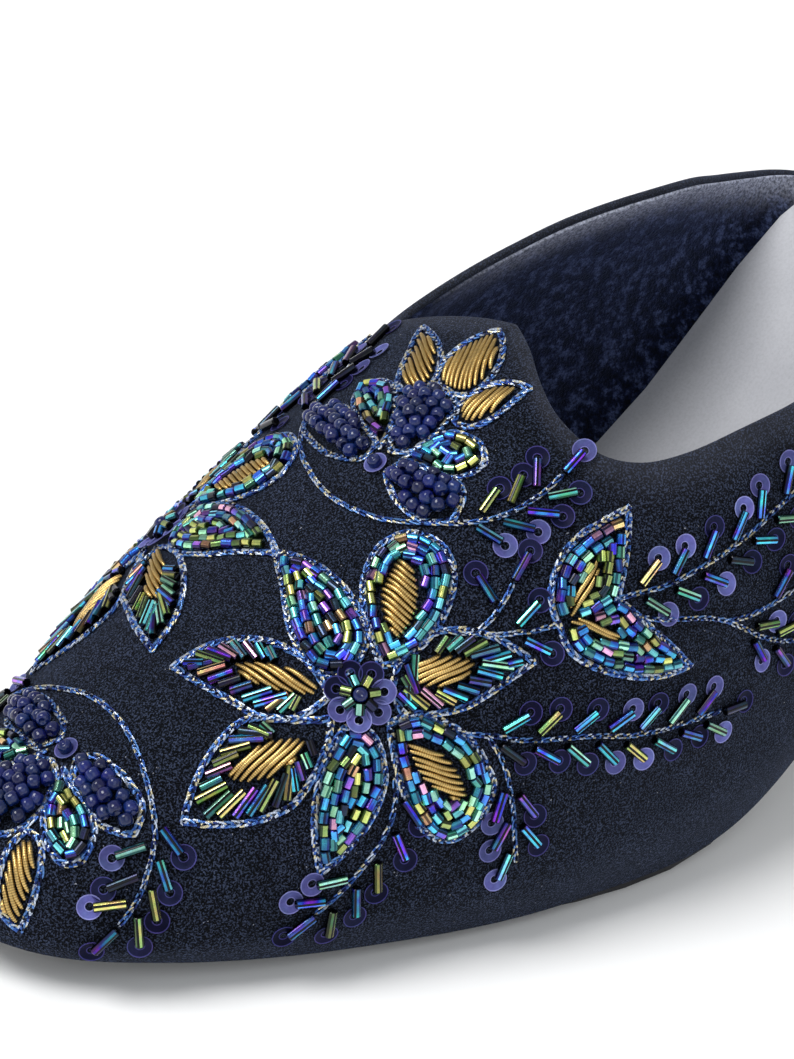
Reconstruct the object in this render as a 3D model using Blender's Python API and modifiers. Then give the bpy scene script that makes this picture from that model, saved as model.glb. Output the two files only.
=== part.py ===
"""A heeled mule with a pointed toe: suede upper, insole, outsole, covered heel and heel tip.

Sizes are in millimetres while a shape is worked out, and a mesh is written in metres.  A station is
the distance from the tip of the toe towards the heel.  The toe points to -X, the inner (big toe) side
of this right shoe is -Y, and the origin is under the middle of the shoe, on the floor.
"""

import math

import bmesh
import bpy
import numpy as np

METRES = 0.001

# Driving dimensions
LAST_LENGTH = 246.0
WALL = 2.0
GAP = 0.3
INSOLE_THICKNESS = 2.6
OUTSOLE_THICKNESS = 2.2
HEEL_TIP_THICKNESS = 5.0
SIDE_OFFSET = 1.83
QUARTER_END = 184.0

# Form of a cross-section of the last
ROUNDNESS = 2.27
WIDEST_AT = 0.19

# The last, one row for each section.  inside and outside are half widths at the feather edge, which the
# sides pass by their bulge.  ridge is the height of the top line, ridge_shift its distance towards +Y,
# and bed the height of the feather edge, where the upper meets the sole.
SECTION_COLUMNS = (
    "station", "inside", "outside", "inside_bulge", "outside_bulge", "ridge", "ridge_shift", "bed",
)
SECTIONS = np.array([
    (0.0, 0.0, 0.0, 0.0, 0.0, 14.5, 0.0, 7.5),
    (6.0, 13.2, 13.0, 1.0, 1.0, 20.0, 0.0, 6.1),
    (20.0, 21.6, 23.6, 2.1, 1.9, 27.5, 0.0, 4.4),
    (45.0, 30.0, 32.1, 2.8, 3.1, 45.5, -1.5, 2.7),
    (78.0, 36.4, 39.0, 3.6, 3.7, 67.5, -1.0, 2.4),
    (110.0, 36.0, 39.8, 3.2, 4.0, 85.5, 0.0, 5.1),
    (145.0, 31.0, 36.0, 3.8, 3.5, 91.5, -3.0, 31.5),
    (180.0, 26.4, 33.5, 3.0, 2.3, 94.5, -4.0, 68.0),
    (215.0, 22.0, 27.0, 2.0, 2.0, 101.5, -3.0, 75.5),
    (234.0, 18.0, 20.0, 1.5, 1.5, 108.5, -2.0, 79.0),
    (246.0, 0.0, 0.0, 1.0, 1.0, 111.5, 0.0, 81.0),
])

# The edge of the upper from the middle of the throat back to the end of each quarter: station and drop
# on the inner side, then on the outer side.  A drop is the distance down the surface from the ridge.
TOPLINE = np.array([
    (87.0, 0.0, 87.0, 0.0),
    (85.4, 4.6, 86.2, 4.6),
    (82.8, 10.8, 85.1, 11.0),
    (81.8, 15.5, 84.6, 16.0),
    (82.2, 19.8, 84.6, 20.0),
    (83.9, 24.6, 85.4, 25.0),
    (88.2, 29.5, 88.6, 30.0),
    (95.0, 33.4, 95.0, 33.5),
    (103.4, 36.0, 102.0, 35.5),
    (112.6, 37.3, 112.6, 36.7),
    (125.0, 35.2, 123.5, 35.6),
    (138.0, 32.6, 135.0, 35.4),
    (149.0, 31.9, 148.7, 37.6),
    (158.0, 32.8, 158.3, 41.8),
    (168.0, 34.8, 168.3, 46.1),
    (176.0, 37.1, 176.4, 48.9),
    (184.0, 39.1, 184.0, 51.4),
])

# How far the outsole's edge lies inside the feather edge, at stations along it
SOLE_INSET = np.array([
    (0.0, 4.0),
    (45.0, 4.0),
    (70.0, 3.0),
    (86.0, 1.3),
    (102.0, 1.3),
    (120.0, 2.6),
    (150.0, 3.4),
    (200.0, 3.0),
    (246.0, 1.0),
])

# The heel, from level 0 at the seat down to level 1 at the heel tip: level, the stations of its front and
# its back, and its half width
HEEL = np.array([
    (0.00, 193.0, 244.9, 23.6),
    (0.12, 201.0, 244.0, 20.4),
    (0.28, 210.0, 241.6, 15.2),
    (0.50, 217.6, 239.2, 10.6),
    (0.75, 221.4, 238.0, 8.4),
    (1.00, 222.4, 238.6, 8.2),
])

# Room for the slanting wall beside the insole: the wall's width in plan over its thickness, and what the
# insole is eased by towards the quarters' ends.  Just behind them it steps out to the full outline.
WALL_SLANT = 1.2
INSOLE_EASE = 0.4
INSOLE_EASE_FROM = 140.0
INSOLE_STEP_GAP = 1.3
INSOLE_STEP = 2.4

# The plan of the heel: where its round back starts, and how much narrower its breast is
HEEL_SHOULDER = 0.38
HEEL_BREAST_WIDTH = 0.95

# Where the columns of the upper's mesh stand: their feet below the throat's middle and below the corner
# where the throat turns into the side, the station that the throat's columns head for, and how soon they
# bend back from the edge
THROAT_FOOT = 74.0
THROAT_AIM = 77.0
THROAT_BEND = 5.0
CORNER_SHARE = 0.24
CORNER_FOOT = 90.0

# Mesh steps
FOREPART_COLUMNS = 26
QUARTER_COLUMNS = 26
WALL_ROWS = 16
OUTLINE_STEPS = 44
WIDTH_STEPS = 6
HEEL_LEVELS = 24
HEEL_BACK_STEPS = 24
CROWN_SAMPLES = 81
SIDE_SAMPLES = 13
WELD_DISTANCE = 0.02


def smooth_curve(knots, values, at):
    """A smooth curve through the rows of a table, read at the places given."""
    knots = np.asarray(knots, float)
    values = np.asarray(values, float)
    at = np.asarray(at, float)
    step = np.diff(knots)
    slope = np.diff(values) / step
    tangent = np.empty_like(values)
    tangent[1:-1] = (slope[:-1] * step[1:] + slope[1:] * step[:-1]) / (step[1:] + step[:-1])
    tangent[0] = 2.0 * slope[0] - tangent[1]
    tangent[-1] = 2.0 * slope[-1] - tangent[-2]
    row = np.clip(np.searchsorted(knots, at) - 1, 0, len(step) - 1)
    t = (at - knots[row]) / step[row]
    return (
        (2 * t**3 - 3 * t**2 + 1) * values[row]
        + (t**3 - 2 * t**2 + t) * step[row] * tangent[row]
        + (3 * t**2 - 2 * t**3) * values[row + 1]
        + (t**3 - t**2) * step[row] * tangent[row + 1]
    )


def turn(station):
    """An angle that runs from 0 at the toe to pi at the heel, so that both ends of the last are round."""
    return np.arccos(np.clip(1.0 - 2.0 * np.asarray(station, float) / LAST_LENGTH, -1.0, 1.0))


def last_value(column, station):
    """One column of the table of sections at any station."""
    values = SECTIONS[:, SECTION_COLUMNS.index(column)]
    if column == "bed":
        return smooth_curve(SECTIONS[:, 0], values, station)
    return smooth_curve(turn(SECTIONS[:, 0]), values, turn(station))


def section_arc(station, side):
    """Half a section of the outer surface from the ridge down to the feather edge.

    It gives y, z and the distance from the ridge at a row of points.
    """
    name = "inside" if side < 0 else "outside"
    edge = last_value(name, station)
    widest = edge + last_value(name + "_bulge", station)
    shift = last_value("ridge_shift", station)
    bed = last_value("bed", station)
    height = max(last_value("ridge", station) - bed, 1.0)

    angle = np.linspace(math.pi / 2, 0.0, CROWN_SAMPLES)
    across = np.clip(np.cos(angle), 0.0, 1.0) ** (2.0 / ROUNDNESS)
    upward = np.clip(np.sin(angle), 0.0, 1.0) ** (2.0 / ROUNDNESS)
    crown_y = side * widest * across + shift * (1.0 - across)
    crown_z = bed + height * (WIDEST_AT + (1.0 - WIDEST_AT) * upward)

    rise = np.linspace(1.0, 0.0, SIDE_SAMPLES)[1:]
    side_y = side * (edge + (widest - edge) * np.sin(rise * math.pi / 2))
    side_z = bed + height * WIDEST_AT * rise

    y = np.concatenate([crown_y, side_y])
    z = np.concatenate([crown_z, side_z])
    return y, z, np.concatenate([[0.0], np.cumsum(np.hypot(np.diff(y), np.diff(z)))])


def skin_point(station, side, down):
    """A point of the outer surface.  down runs from 0 at the ridge to 1 at the feather edge."""
    y, z, along = section_arc(station, side)
    drop = down * along[-1]
    return (station, float(np.interp(drop, along, y)), float(np.interp(drop, along, z)))


def topline_point(side, share):
    """Station and drop of the topline.  share runs from 0 at the throat to 1 at the quarter's end."""
    first = 0 if side < 0 else 2
    rows = TOPLINE[:, first:first + 2]
    along = np.concatenate([[0.0], np.cumsum(np.linalg.norm(np.diff(rows, axis=0), axis=1))])
    at = share * along[-1]
    return float(smooth_curve(along, rows[:, 0], at)), float(smooth_curve(along, rows[:, 1], at))


def upper_columns(side):
    """The columns of the upper's mesh, each from the feather edge to the ridge or the topline.

    A column is given by its station at the feather edge, the station that it heads for, the station
    and drop of its top end.  Near the throat its top end bends back to the edge of the leather.
    """
    throat = TOPLINE[0, 0]
    columns = []
    for i in range(FOREPART_COLUMNS):
        top = throat * (1.0 - math.cos(math.pi / 2 * i / FOREPART_COLUMNS))
        foot = top - (throat - THROAT_FOOT) * (top / throat) ** 3
        aim = top - (throat - THROAT_AIM) * (top / throat) ** 4
        columns.append((foot, aim, top, 0.0))
    for i in range(QUARTER_COLUMNS + 1):
        share = i / QUARTER_COLUMNS
        top, drop = topline_point(side, share)
        foot = float(np.interp(share, [0.0, CORNER_SHARE, 1.0], [THROAT_FOOT, CORNER_FOOT, QUARTER_END]))
        pull = max(1.0 - share / CORNER_SHARE, 0.0)
        columns.append((foot, top - (throat - THROAT_AIM) * pull, top, drop))
    return columns


def column_points(column, side):
    """The points of one column, closer together near the ridge or topline and near the feather edge."""
    foot, aim, top, top_drop = column
    total = section_arc(top, side)[2][-1]
    points = []
    for row in range(WALL_ROWS + 1):
        share = row / WALL_ROWS
        fall = 0.5 * share + 0.25 * (1.0 - math.cos(math.pi * share))
        drop = top_drop + (total - top_drop) * fall
        station = aim + (foot - aim) * fall + (top - aim) * math.exp((top_drop - drop) / THROAT_BEND)
        points.append(skin_point(station if row < WALL_ROWS else foot, side, drop / total))
    return points


def row_position(point):
    """A point given by station, y and z in millimetres, in the part's own frame in metres."""
    station, y, z = point
    return ((station - LAST_LENGTH / 2) * METRES, (y - SIDE_OFFSET) * METRES, z * METRES)


def new_material(name, colour, roughness):
    material = bpy.data.materials.new(name)
    material.use_nodes = True
    shader = material.node_tree.nodes["Principled BSDF"]
    shader.inputs["Base Color"].default_value = (*colour, 1.0)
    shader.inputs["Roughness"].default_value = roughness
    shader.inputs["Metallic"].default_value = 0.0
    return material


def new_object(name, points, faces, material, collection, closed=True):
    """A mesh object from points in millimetres, its doubles welded, and a closed one facing out."""
    mesh = bpy.data.meshes.new(name)
    mesh.from_pydata([row_position(p) for p in points], [], faces)
    work = bmesh.new()
    work.from_mesh(mesh)
    bmesh.ops.remove_doubles(work, verts=work.verts, dist=WELD_DISTANCE * METRES)
    if closed:
        bmesh.ops.recalc_face_normals(work, faces=work.faces)
    work.to_mesh(mesh)
    work.free()
    mesh.shade_smooth()
    mesh.set_sharp_from_angle(angle=math.radians(40))
    mesh.materials.append(material)
    part = bpy.data.objects.new(name, mesh)
    collection.objects.link(part)
    return part


def make_upper(collection):
    """The open outer surface of vamp and quarters, thickened inwards to the wall."""
    points = []
    faces = []
    rows = WALL_ROWS + 1
    for side in (-1, 1):
        columns = upper_columns(side)
        first = len(points)
        for column in columns:
            points += column_points(column, side)
        for i in range(len(columns) - 1):
            for row in range(WALL_ROWS):
                corner = first + i * rows + row
                face = (corner, corner + 1, corner + rows + 1, corner + rows)
                faces.append(face if side < 0 else face[::-1])
    material = new_material("black_suede", (0.018, 0.019, 0.026), 0.92)
    upper = new_object("upper", points, faces, material, collection, closed=False)
    shell = upper.modifiers.new("wall", "SOLIDIFY")
    shell.thickness = WALL * METRES
    shell.offset = -1.0
    shell.use_rim = True
    return upper


def outline_points(inset_at):
    """The inner and outer half of the last's plan outline, drawn in by inset_at(station)."""
    behind = QUARTER_END + INSOLE_STEP_GAP
    step_turns = turn([behind, behind + INSOLE_STEP])
    turns = np.sort(np.concatenate([np.linspace(0.0, math.pi, OUTLINE_STEPS + 1), step_turns]))
    stations = LAST_LENGTH * (1.0 - np.cos(turns)) / 2.0
    halves = []
    for name, side in (("inside", -1.0), ("outside", 1.0)):
        widths = last_value(name, stations)
        along = np.gradient(stations, turns)
        across = np.gradient(widths, turns)
        length = np.hypot(along, across)
        inset = np.array([inset_at(s) for s in stations])
        x = stations + inset * across / length
        y = side * (widths - inset * along / length)
        x[0] = inset[0]
        x[-1] = LAST_LENGTH - inset[-1]
        y[0] = 0.0
        y[-1] = 0.0
        halves.append(list(zip(x, y)))
    return halves


def plate(name, halves_top, halves_bottom, top_at, bottom_at, material, collection):
    """A closed plate between two surfaces, with a ring of strips across it for every outline step."""
    points = []
    rows = len(halves_top[0])
    columns = WIDTH_STEPS + 1
    for halves, height_at in ((halves_top, top_at), (halves_bottom, bottom_at)):
        for (x0, y0), (x1, y1) in zip(*halves):
            for step in range(columns):
                share = step / WIDTH_STEPS
                x = x0 + (x1 - x0) * share
                points.append((x, y0 + (y1 - y0) * share, height_at(x)))
    layer = rows * columns
    faces = []
    for i in range(rows - 1):
        for step in range(WIDTH_STEPS):
            corner = i * columns + step
            faces.append((corner, corner + 1, corner + columns + 1, corner + columns))
            corner += layer
            faces.append((corner, corner + columns, corner + columns + 1, corner + 1))
        for edge in (0, WIDTH_STEPS):
            a = i * columns + edge
            b = a + columns
            faces.append((a, b, b + layer, a + layer))
    return new_object(name, points, faces, material, collection)


def slope_at(station):
    """The rise of the bed per millimetre of station."""
    reach = 0.5
    low = max(station - reach, 0.0)
    high = min(station + reach, LAST_LENGTH)
    return float((last_value("bed", high) - last_value("bed", low)) / (high - low))


def bed_height(station):
    return float(last_value("bed", np.clip(station, 0.0, LAST_LENGTH)))


def insole_top(station):
    return bed_height(station) + INSOLE_THICKNESS * math.hypot(1.0, slope_at(station))


def outsole_top(station):
    return bed_height(station) - GAP


def outsole_bottom(station):
    """The underside of the sole.  Under the ball it is flat on the floor."""
    return max(outsole_top(station) - OUTSOLE_THICKNESS * math.hypot(1.0, slope_at(station)), 0.0)


def wall_lean(station, rise):
    """How far the outer side lies outside the feather edge at a height above it."""
    height = last_value("ridge", station) - last_value("bed", station)
    share = min(rise / (WIDEST_AT * height), 1.0)
    bulge = min(last_value("inside_bulge", station), last_value("outside_bulge", station))
    return float(bulge) * math.sin(share * math.pi / 2)


def insole_inset(station, rise):
    """The insole lies inside the wall as far as the quarters reach, and fills the seat behind them."""
    ease = float(np.interp(station, [INSOLE_EASE_FROM, QUARTER_END], [0.0, INSOLE_EASE]))
    inside_wall = WALL * WALL_SLANT + GAP + ease - wall_lean(station, rise)
    behind = QUARTER_END + INSOLE_STEP_GAP
    return float(np.interp(station, [behind, behind + INSOLE_STEP], [inside_wall, 0.0]))


def make_insole(collection):
    material = new_material("grey_leather", (0.38, 0.38, 0.4), 0.45)
    rise = INSOLE_THICKNESS
    top = outline_points(lambda station: insole_inset(station, rise))
    bottom = outline_points(lambda station: insole_inset(station, 0.0))
    return plate("insole", top, bottom, insole_top, bed_height, material, collection)


def make_outsole(collection):
    material = new_material("black_sole", (0.02, 0.02, 0.022), 0.6)
    outline = outline_points(lambda s: float(smooth_curve(SOLE_INSET[:, 0], SOLE_INSET[:, 1], s)))
    return plate("outsole", outline, outline, outsole_top, outsole_bottom, material, collection)


def heel_ring(level):
    """The outline of the heel at a level, from the inner corner of the breast round the back.

    The breast is straight, the sides are straight as far as the shoulder, and the back is round.
    """
    front, back, half = (float(smooth_curve(HEEL[:, 0], HEEL[:, c], level)) for c in (1, 2, 3))
    shoulder = front + (back - front) * HEEL_SHOULDER
    ring = [(front, -half * HEEL_BREAST_WIDTH)]
    for i in range(HEEL_BACK_STEPS + 1):
        angle = math.pi * (i / HEEL_BACK_STEPS - 0.5)
        ring.append((shoulder + (back - shoulder) * math.cos(angle), half * math.sin(angle)))
    ring.append((front, half * HEEL_BREAST_WIDTH))
    return ring


def heel_centre():
    """The middle line of the heel, which lies under the middle of the seat."""
    station = (HEEL[0, 1] + HEEL[0, 2]) / 2.0
    return float(last_value("outside", station) - last_value("inside", station)) / 2.0


def make_heel(collection):
    """A loft from the underside of the seat down to the heel tip, capped by strips across it."""
    points = []
    floor_side = HEEL_TIP_THICKNESS + GAP
    crown = heel_ring(0.0)
    count = len(crown)
    for i in range(HEEL_LEVELS + 1):
        level = i / HEEL_LEVELS
        for (x, y), (crown_x, _) in zip(heel_ring(level), crown):
            seat = outsole_bottom(crown_x) - GAP
            points.append((x, y + heel_centre(), seat + (floor_side - seat) * level))
    faces = []
    for i in range(HEEL_LEVELS):
        for j in range(count):
            a = i * count + j
            b = i * count + (j + 1) % count
            faces.append((a, b, b + count, a + count))
    last = HEEL_LEVELS * count
    for j in range(count // 2):
        strip = list(dict.fromkeys((j, j + 1, count - 2 - j, count - 1 - j)))
        if len(strip) > 2:
            faces.append(tuple(strip))
            faces.append(tuple(last + k for k in reversed(strip)))
    material = new_material("heel_cover", (0.018, 0.019, 0.026), 0.85)
    return new_object("heel", points, faces, material, collection)


def make_heel_tip(collection):
    """The rubber top piece, a slab with the outline of the heel's lower end."""
    ring = heel_ring(1.0)
    count = len(ring)
    points = [(x, y + heel_centre(), z) for z in (0.0, HEEL_TIP_THICKNESS) for x, y in ring]
    faces = [tuple(range(count)), tuple(range(count, 2 * count))]
    for j in range(count):
        k = (j + 1) % count
        faces.append((j, k, k + count, j + count))
    material = new_material("tip_rubber", (0.015, 0.015, 0.015), 0.7)
    return new_object("heel_tip", points, faces, material, collection)


def main():
    for item in list(bpy.data.objects):
        bpy.data.objects.remove(item)
    collection = bpy.data.collections.new("heeled_mule")
    bpy.context.scene.collection.children.link(collection)
    make_upper(collection)
    make_insole(collection)
    make_outsole(collection)
    make_heel(collection)
    make_heel_tip(collection)


main()
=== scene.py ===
"""The looks of a black suede heeled mule, embroidered with a traditional floral pattern in beads.

Shapes are worked out in millimetres and written as meshes in metres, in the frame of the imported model.
A station is the distance from the tip of the toe towards the heel.  A drop is the distance down the
surface of the upper from its ridge: negative on the inner side of the shoe, positive on the outer side.
"""

import math

import bmesh
import bpy
import numpy as np
from mathutils import Matrix, Vector


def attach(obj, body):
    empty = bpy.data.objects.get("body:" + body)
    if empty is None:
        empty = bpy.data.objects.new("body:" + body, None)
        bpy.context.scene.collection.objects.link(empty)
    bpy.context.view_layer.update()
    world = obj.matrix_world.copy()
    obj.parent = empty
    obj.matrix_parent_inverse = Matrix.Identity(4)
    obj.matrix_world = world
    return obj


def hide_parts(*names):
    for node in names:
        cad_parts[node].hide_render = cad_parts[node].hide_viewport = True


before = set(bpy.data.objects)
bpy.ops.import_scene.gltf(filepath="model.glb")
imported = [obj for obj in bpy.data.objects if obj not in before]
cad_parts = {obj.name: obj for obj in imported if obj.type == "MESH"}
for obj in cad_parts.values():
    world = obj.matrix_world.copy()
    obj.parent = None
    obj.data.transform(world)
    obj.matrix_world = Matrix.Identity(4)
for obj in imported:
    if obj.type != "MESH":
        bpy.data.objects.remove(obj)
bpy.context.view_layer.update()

METRES = 0.001

# The last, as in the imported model
LAST_LENGTH = 246.0
WALL = 2.0
SIDE_OFFSET = 1.83
QUARTER_END = 184.0
ROUNDNESS = 2.27
WIDEST_AT = 0.19
SECTION_COLUMNS = (
    "station", "inside", "outside", "inside_bulge", "outside_bulge", "ridge", "ridge_shift", "bed",
)
SECTIONS = np.array([
    (0.0, 0.0, 0.0, 0.0, 0.0, 14.5, 0.0, 7.5),
    (6.0, 13.2, 13.0, 1.0, 1.0, 20.0, 0.0, 6.1),
    (20.0, 21.6, 23.6, 2.1, 1.9, 27.5, 0.0, 4.4),
    (45.0, 30.0, 32.1, 2.8, 3.1, 45.5, -1.5, 2.7),
    (78.0, 36.4, 39.0, 3.6, 3.7, 67.5, -1.0, 2.4),
    (110.0, 36.0, 39.8, 3.2, 4.0, 85.5, 0.0, 5.1),
    (145.0, 31.0, 36.0, 3.8, 3.5, 91.5, -3.0, 31.5),
    (180.0, 26.4, 33.5, 3.0, 2.3, 94.5, -4.0, 68.0),
    (215.0, 22.0, 27.0, 2.0, 2.0, 101.5, -3.0, 75.5),
    (234.0, 18.0, 20.0, 1.5, 1.5, 108.5, -2.0, 79.0),
    (246.0, 0.0, 0.0, 1.0, 1.0, 111.5, 0.0, 81.0),
])
# The edge of the upper from the throat back: station and drop on the inner side, then on the outer side
TOPLINE = np.array([
    (87.0, 0.0, 87.0, 0.0),
    (85.4, 4.6, 86.2, 4.6),
    (82.8, 10.8, 85.1, 11.0),
    (81.8, 15.5, 84.6, 16.0),
    (82.2, 19.8, 84.6, 20.0),
    (83.9, 24.6, 85.4, 25.0),
    (88.2, 29.5, 88.6, 30.0),
    (95.0, 33.4, 95.0, 33.5),
    (103.4, 36.0, 102.0, 35.5),
    (112.6, 37.3, 112.6, 36.7),
    (125.0, 35.2, 123.5, 35.6),
    (138.0, 32.6, 135.0, 35.4),
    (149.0, 31.9, 148.7, 37.6),
    (158.0, 32.8, 158.3, 41.8),
    (168.0, 34.8, 168.3, 46.1),
    (176.0, 37.1, 176.4, 48.9),
    (184.0, 39.1, 184.0, 51.4),
])

# Where the columns of the upper's mesh stand: their feet below the throat's middle and below the corner
# where the throat turns into the side, the station that the throat's columns head for, and how soon they
# bend back from the edge
THROAT_FOOT = 74.0
THROAT_AIM = 77.0
THROAT_BEND = 5.0
CORNER_SHARE = 0.24
CORNER_FOOT = 90.0

# The surface that everything is laid on: its ends, its fineness, the step that its slopes are read over,
# and the rounds that the search for a point on it takes
SKIN_START = 0.05
SKIN_END = 186.0
SKIN_ROWS = 640
SKIN_SHARES = 280
CROWN_SAMPLES = 161
SIDE_SAMPLES = 41
STEP = 0.4
SEARCH_ROUNDS = 4
LIFT_ROUNDS = 6


# ---------------------------------------------------------------- the last


def smooth_curve(knots, values, at):
    """A smooth curve through the rows of a table, read at the places given."""
    knots = np.asarray(knots, float)
    values = np.asarray(values, float)
    at = np.asarray(at, float)
    step = np.diff(knots)
    slope = np.diff(values) / step
    tangent = np.empty_like(values)
    tangent[1:-1] = (slope[:-1] * step[1:] + slope[1:] * step[:-1]) / (step[1:] + step[:-1])
    tangent[0] = 2.0 * slope[0] - tangent[1]
    tangent[-1] = 2.0 * slope[-1] - tangent[-2]
    row = np.clip(np.searchsorted(knots, at) - 1, 0, len(step) - 1)
    t = (at - knots[row]) / step[row]
    return (
        (2 * t**3 - 3 * t**2 + 1) * values[row]
        + (t**3 - 2 * t**2 + t) * step[row] * tangent[row]
        + (3 * t**2 - 2 * t**3) * values[row + 1]
        + (t**3 - t**2) * step[row] * tangent[row + 1]
    )


def lengths(points):
    """The distance along a line of points, at each of them."""
    return np.concatenate([[0.0], np.cumsum(np.linalg.norm(np.diff(points, axis=0), axis=1))])


def read_along(at, along, table):
    """The rows of a table that belongs to a line, read at distances along it."""
    return np.stack([np.interp(at, along, column) for column in table.T], -1)


def turn(station):
    """An angle that runs from 0 at the toe to pi at the heel, so that both ends of the last are round."""
    return np.arccos(np.clip(1.0 - 2.0 * np.asarray(station, float) / LAST_LENGTH, -1.0, 1.0))


def last_value(column, station):
    """One column of the table of sections at any station."""
    values = SECTIONS[:, SECTION_COLUMNS.index(column)]
    if column == "bed":
        return smooth_curve(SECTIONS[:, 0], values, station)
    return smooth_curve(turn(SECTIONS[:, 0]), values, turn(station))


def section_arc(station, side):
    """Half a section of the outer surface from the ridge down to the feather edge: y, z and distance."""
    name = "inside" if side < 0 else "outside"
    edge = last_value(name, station)
    widest = edge + last_value(name + "_bulge", station)
    shift = last_value("ridge_shift", station)
    bed = last_value("bed", station)
    height = max(last_value("ridge", station) - bed, 1.0)
    angle = np.linspace(math.pi / 2, 0.0, CROWN_SAMPLES)
    across = np.clip(np.cos(angle), 0.0, 1.0) ** (2.0 / ROUNDNESS)
    upward = np.clip(np.sin(angle), 0.0, 1.0) ** (2.0 / ROUNDNESS)
    crown_y = side * widest * across + shift * (1.0 - across)
    crown_z = bed + height * (WIDEST_AT + (1.0 - WIDEST_AT) * upward)
    rise = np.linspace(1.0, 0.0, SIDE_SAMPLES)[1:]
    side_y = side * (edge + (widest - edge) * np.sin(rise * math.pi / 2))
    side_z = bed + height * WIDEST_AT * rise
    y = np.concatenate([crown_y, side_y])
    z = np.concatenate([crown_z, side_z])
    return y, z, np.concatenate([[0.0], np.cumsum(np.hypot(np.diff(y), np.diff(z)))])


def skin_table(side):
    """y, z and the whole length of half sections, at even turns of the last and even shares of each."""
    stations = LAST_LENGTH * (1.0 - np.cos(np.linspace(0.0, turn(SKIN_END), SKIN_ROWS))) / 2.0
    shares = np.linspace(0.0, 1.0, SKIN_SHARES)
    y = np.empty((SKIN_ROWS, SKIN_SHARES))
    z = np.empty((SKIN_ROWS, SKIN_SHARES))
    total = np.empty(SKIN_ROWS)
    for row, station in enumerate(stations):
        arc_y, arc_z, along = section_arc(station, side)
        total[row] = along[-1]
        y[row] = np.interp(shares * total[row], along, arc_y)
        z[row] = np.interp(shares * total[row], along, arc_z)
    return y, z, total


SKIN_TABLES = {-1: skin_table(-1), 1: skin_table(1)}


def table_row(station):
    """The row of the skin tables below a station, and how far it lies towards the next."""
    place = np.clip(turn(station) / turn(SKIN_END), 0.0, 1.0) * (SKIN_ROWS - 1)
    row = np.minimum(place.astype(int), SKIN_ROWS - 2)
    return row, place - row


def between(low, high, share):
    """The value at a share of the way from low to high."""
    return low * (1.0 - share) + high * share


def arc_length(station, side):
    """The distance down the surface from the ridge to the feather edge."""
    row, share = table_row(station)
    total = SKIN_TABLES[side][2]
    return between(total[row], total[row + 1], share)


def skin(station, drop):
    """Points of the upper's outer surface, as (x, y, z) in millimetres in the part's frame."""
    station, drop = np.broadcast_arrays(np.asarray(station, float), np.asarray(drop, float))
    row, share = table_row(station)
    points = np.empty(station.shape + (3,))
    points[..., 0] = station - LAST_LENGTH / 2.0
    for side in (-1, 1):
        y, z, total = SKIN_TABLES[side]
        length = between(total[row], total[row + 1], share)
        place = np.clip(np.abs(drop) / length, 0.0, 1.0) * (SKIN_SHARES - 1)
        column = np.minimum(place.astype(int), SKIN_SHARES - 2)
        rest = place - column
        mine = drop <= 0.0 if side < 0 else drop > 0.0
        for axis, table in ((1, y), (2, z)):
            low = between(table[row, column], table[row, column + 1], rest)
            high = between(table[row + 1, column], table[row + 1, column + 1], rest)
            points[..., axis] = np.where(mine, between(low, high, share), points[..., axis])
    points[..., 1] -= SIDE_OFFSET
    return points


def unit(vectors):
    return vectors / np.maximum(np.linalg.norm(vectors, axis=-1, keepdims=True), 1e-12)


def skin_slopes(station, drop):
    """How the point moves per millimetre of station and of drop."""
    station = np.asarray(station, float)
    drop = np.asarray(drop, float)
    low = np.maximum(station - STEP, 0.0)
    high = station + STEP
    along = (skin(high, drop) - skin(low, drop)) / (high - low)[..., None]
    down = (skin(station, drop + STEP) - skin(station, drop - STEP)) / (2.0 * STEP)
    return along, down


def skin_normal(station, drop):
    along, down = skin_slopes(station, drop)
    return unit(np.cross(along, down))


def on_skin(points, station, drop):
    """The station and drop of the surface points nearest to some points close to it."""
    station = np.array(station, float)
    drop = np.array(drop, float)
    for _ in range(SEARCH_ROUNDS):
        along, down = skin_slopes(station, drop)
        miss = points - skin(station, drop)
        aa = (along * along).sum(-1)
        ab = (along * down).sum(-1)
        bb = (down * down).sum(-1)
        right_a = (along * miss).sum(-1)
        right_b = (down * miss).sum(-1)
        area = aa * bb - ab * ab
        station += (bb * right_a - ab * right_b) / area
        drop += (aa * right_b - ab * right_a) / area
        station = np.clip(station, SKIN_START, SKIN_END)
    return station, drop


# ---------------------------------------------------------------- meshes


def new_object(name, data):
    """An object in the scene, made of a mesh, a light or a camera."""
    holder = bpy.data.objects.new(name, data)
    bpy.context.scene.collection.objects.link(holder)
    return holder


def add_piece(name, mesh, material, slot, sharp):
    """A piece with a finished mesh, riding on the only body."""
    mesh.shade_smooth()
    mesh.set_sharp_from_angle(angle=math.radians(sharp))
    mesh.materials.append(material)
    piece = new_object(name, mesh)
    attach(piece, "root")
    return piece


def new_mesh(name, points, quads, tints):
    """A mesh from points in millimetres, rows of four corners, and a colour for each corner or face."""
    mesh = bpy.data.meshes.new(name)
    quads = quads.astype(np.int32)
    mesh.vertices.add(len(points))
    mesh.vertices.foreach_set("co", (points * METRES).astype(np.float32).ravel())
    mesh.loops.add(quads.size)
    mesh.loops.foreach_set("vertex_index", quads.ravel())
    mesh.polygons.add(len(quads))
    mesh.polygons.foreach_set("loop_start", np.arange(0, quads.size, 4, dtype=np.int32))
    mesh.update(calc_edges=True)
    colours = np.ones((len(quads), 4, 4), np.float32)
    colours[:, :, :3] = tints
    mesh.color_attributes.new("tint", "FLOAT_COLOR", "CORNER").data.foreach_set("color", colours.ravel())
    return mesh


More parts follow.
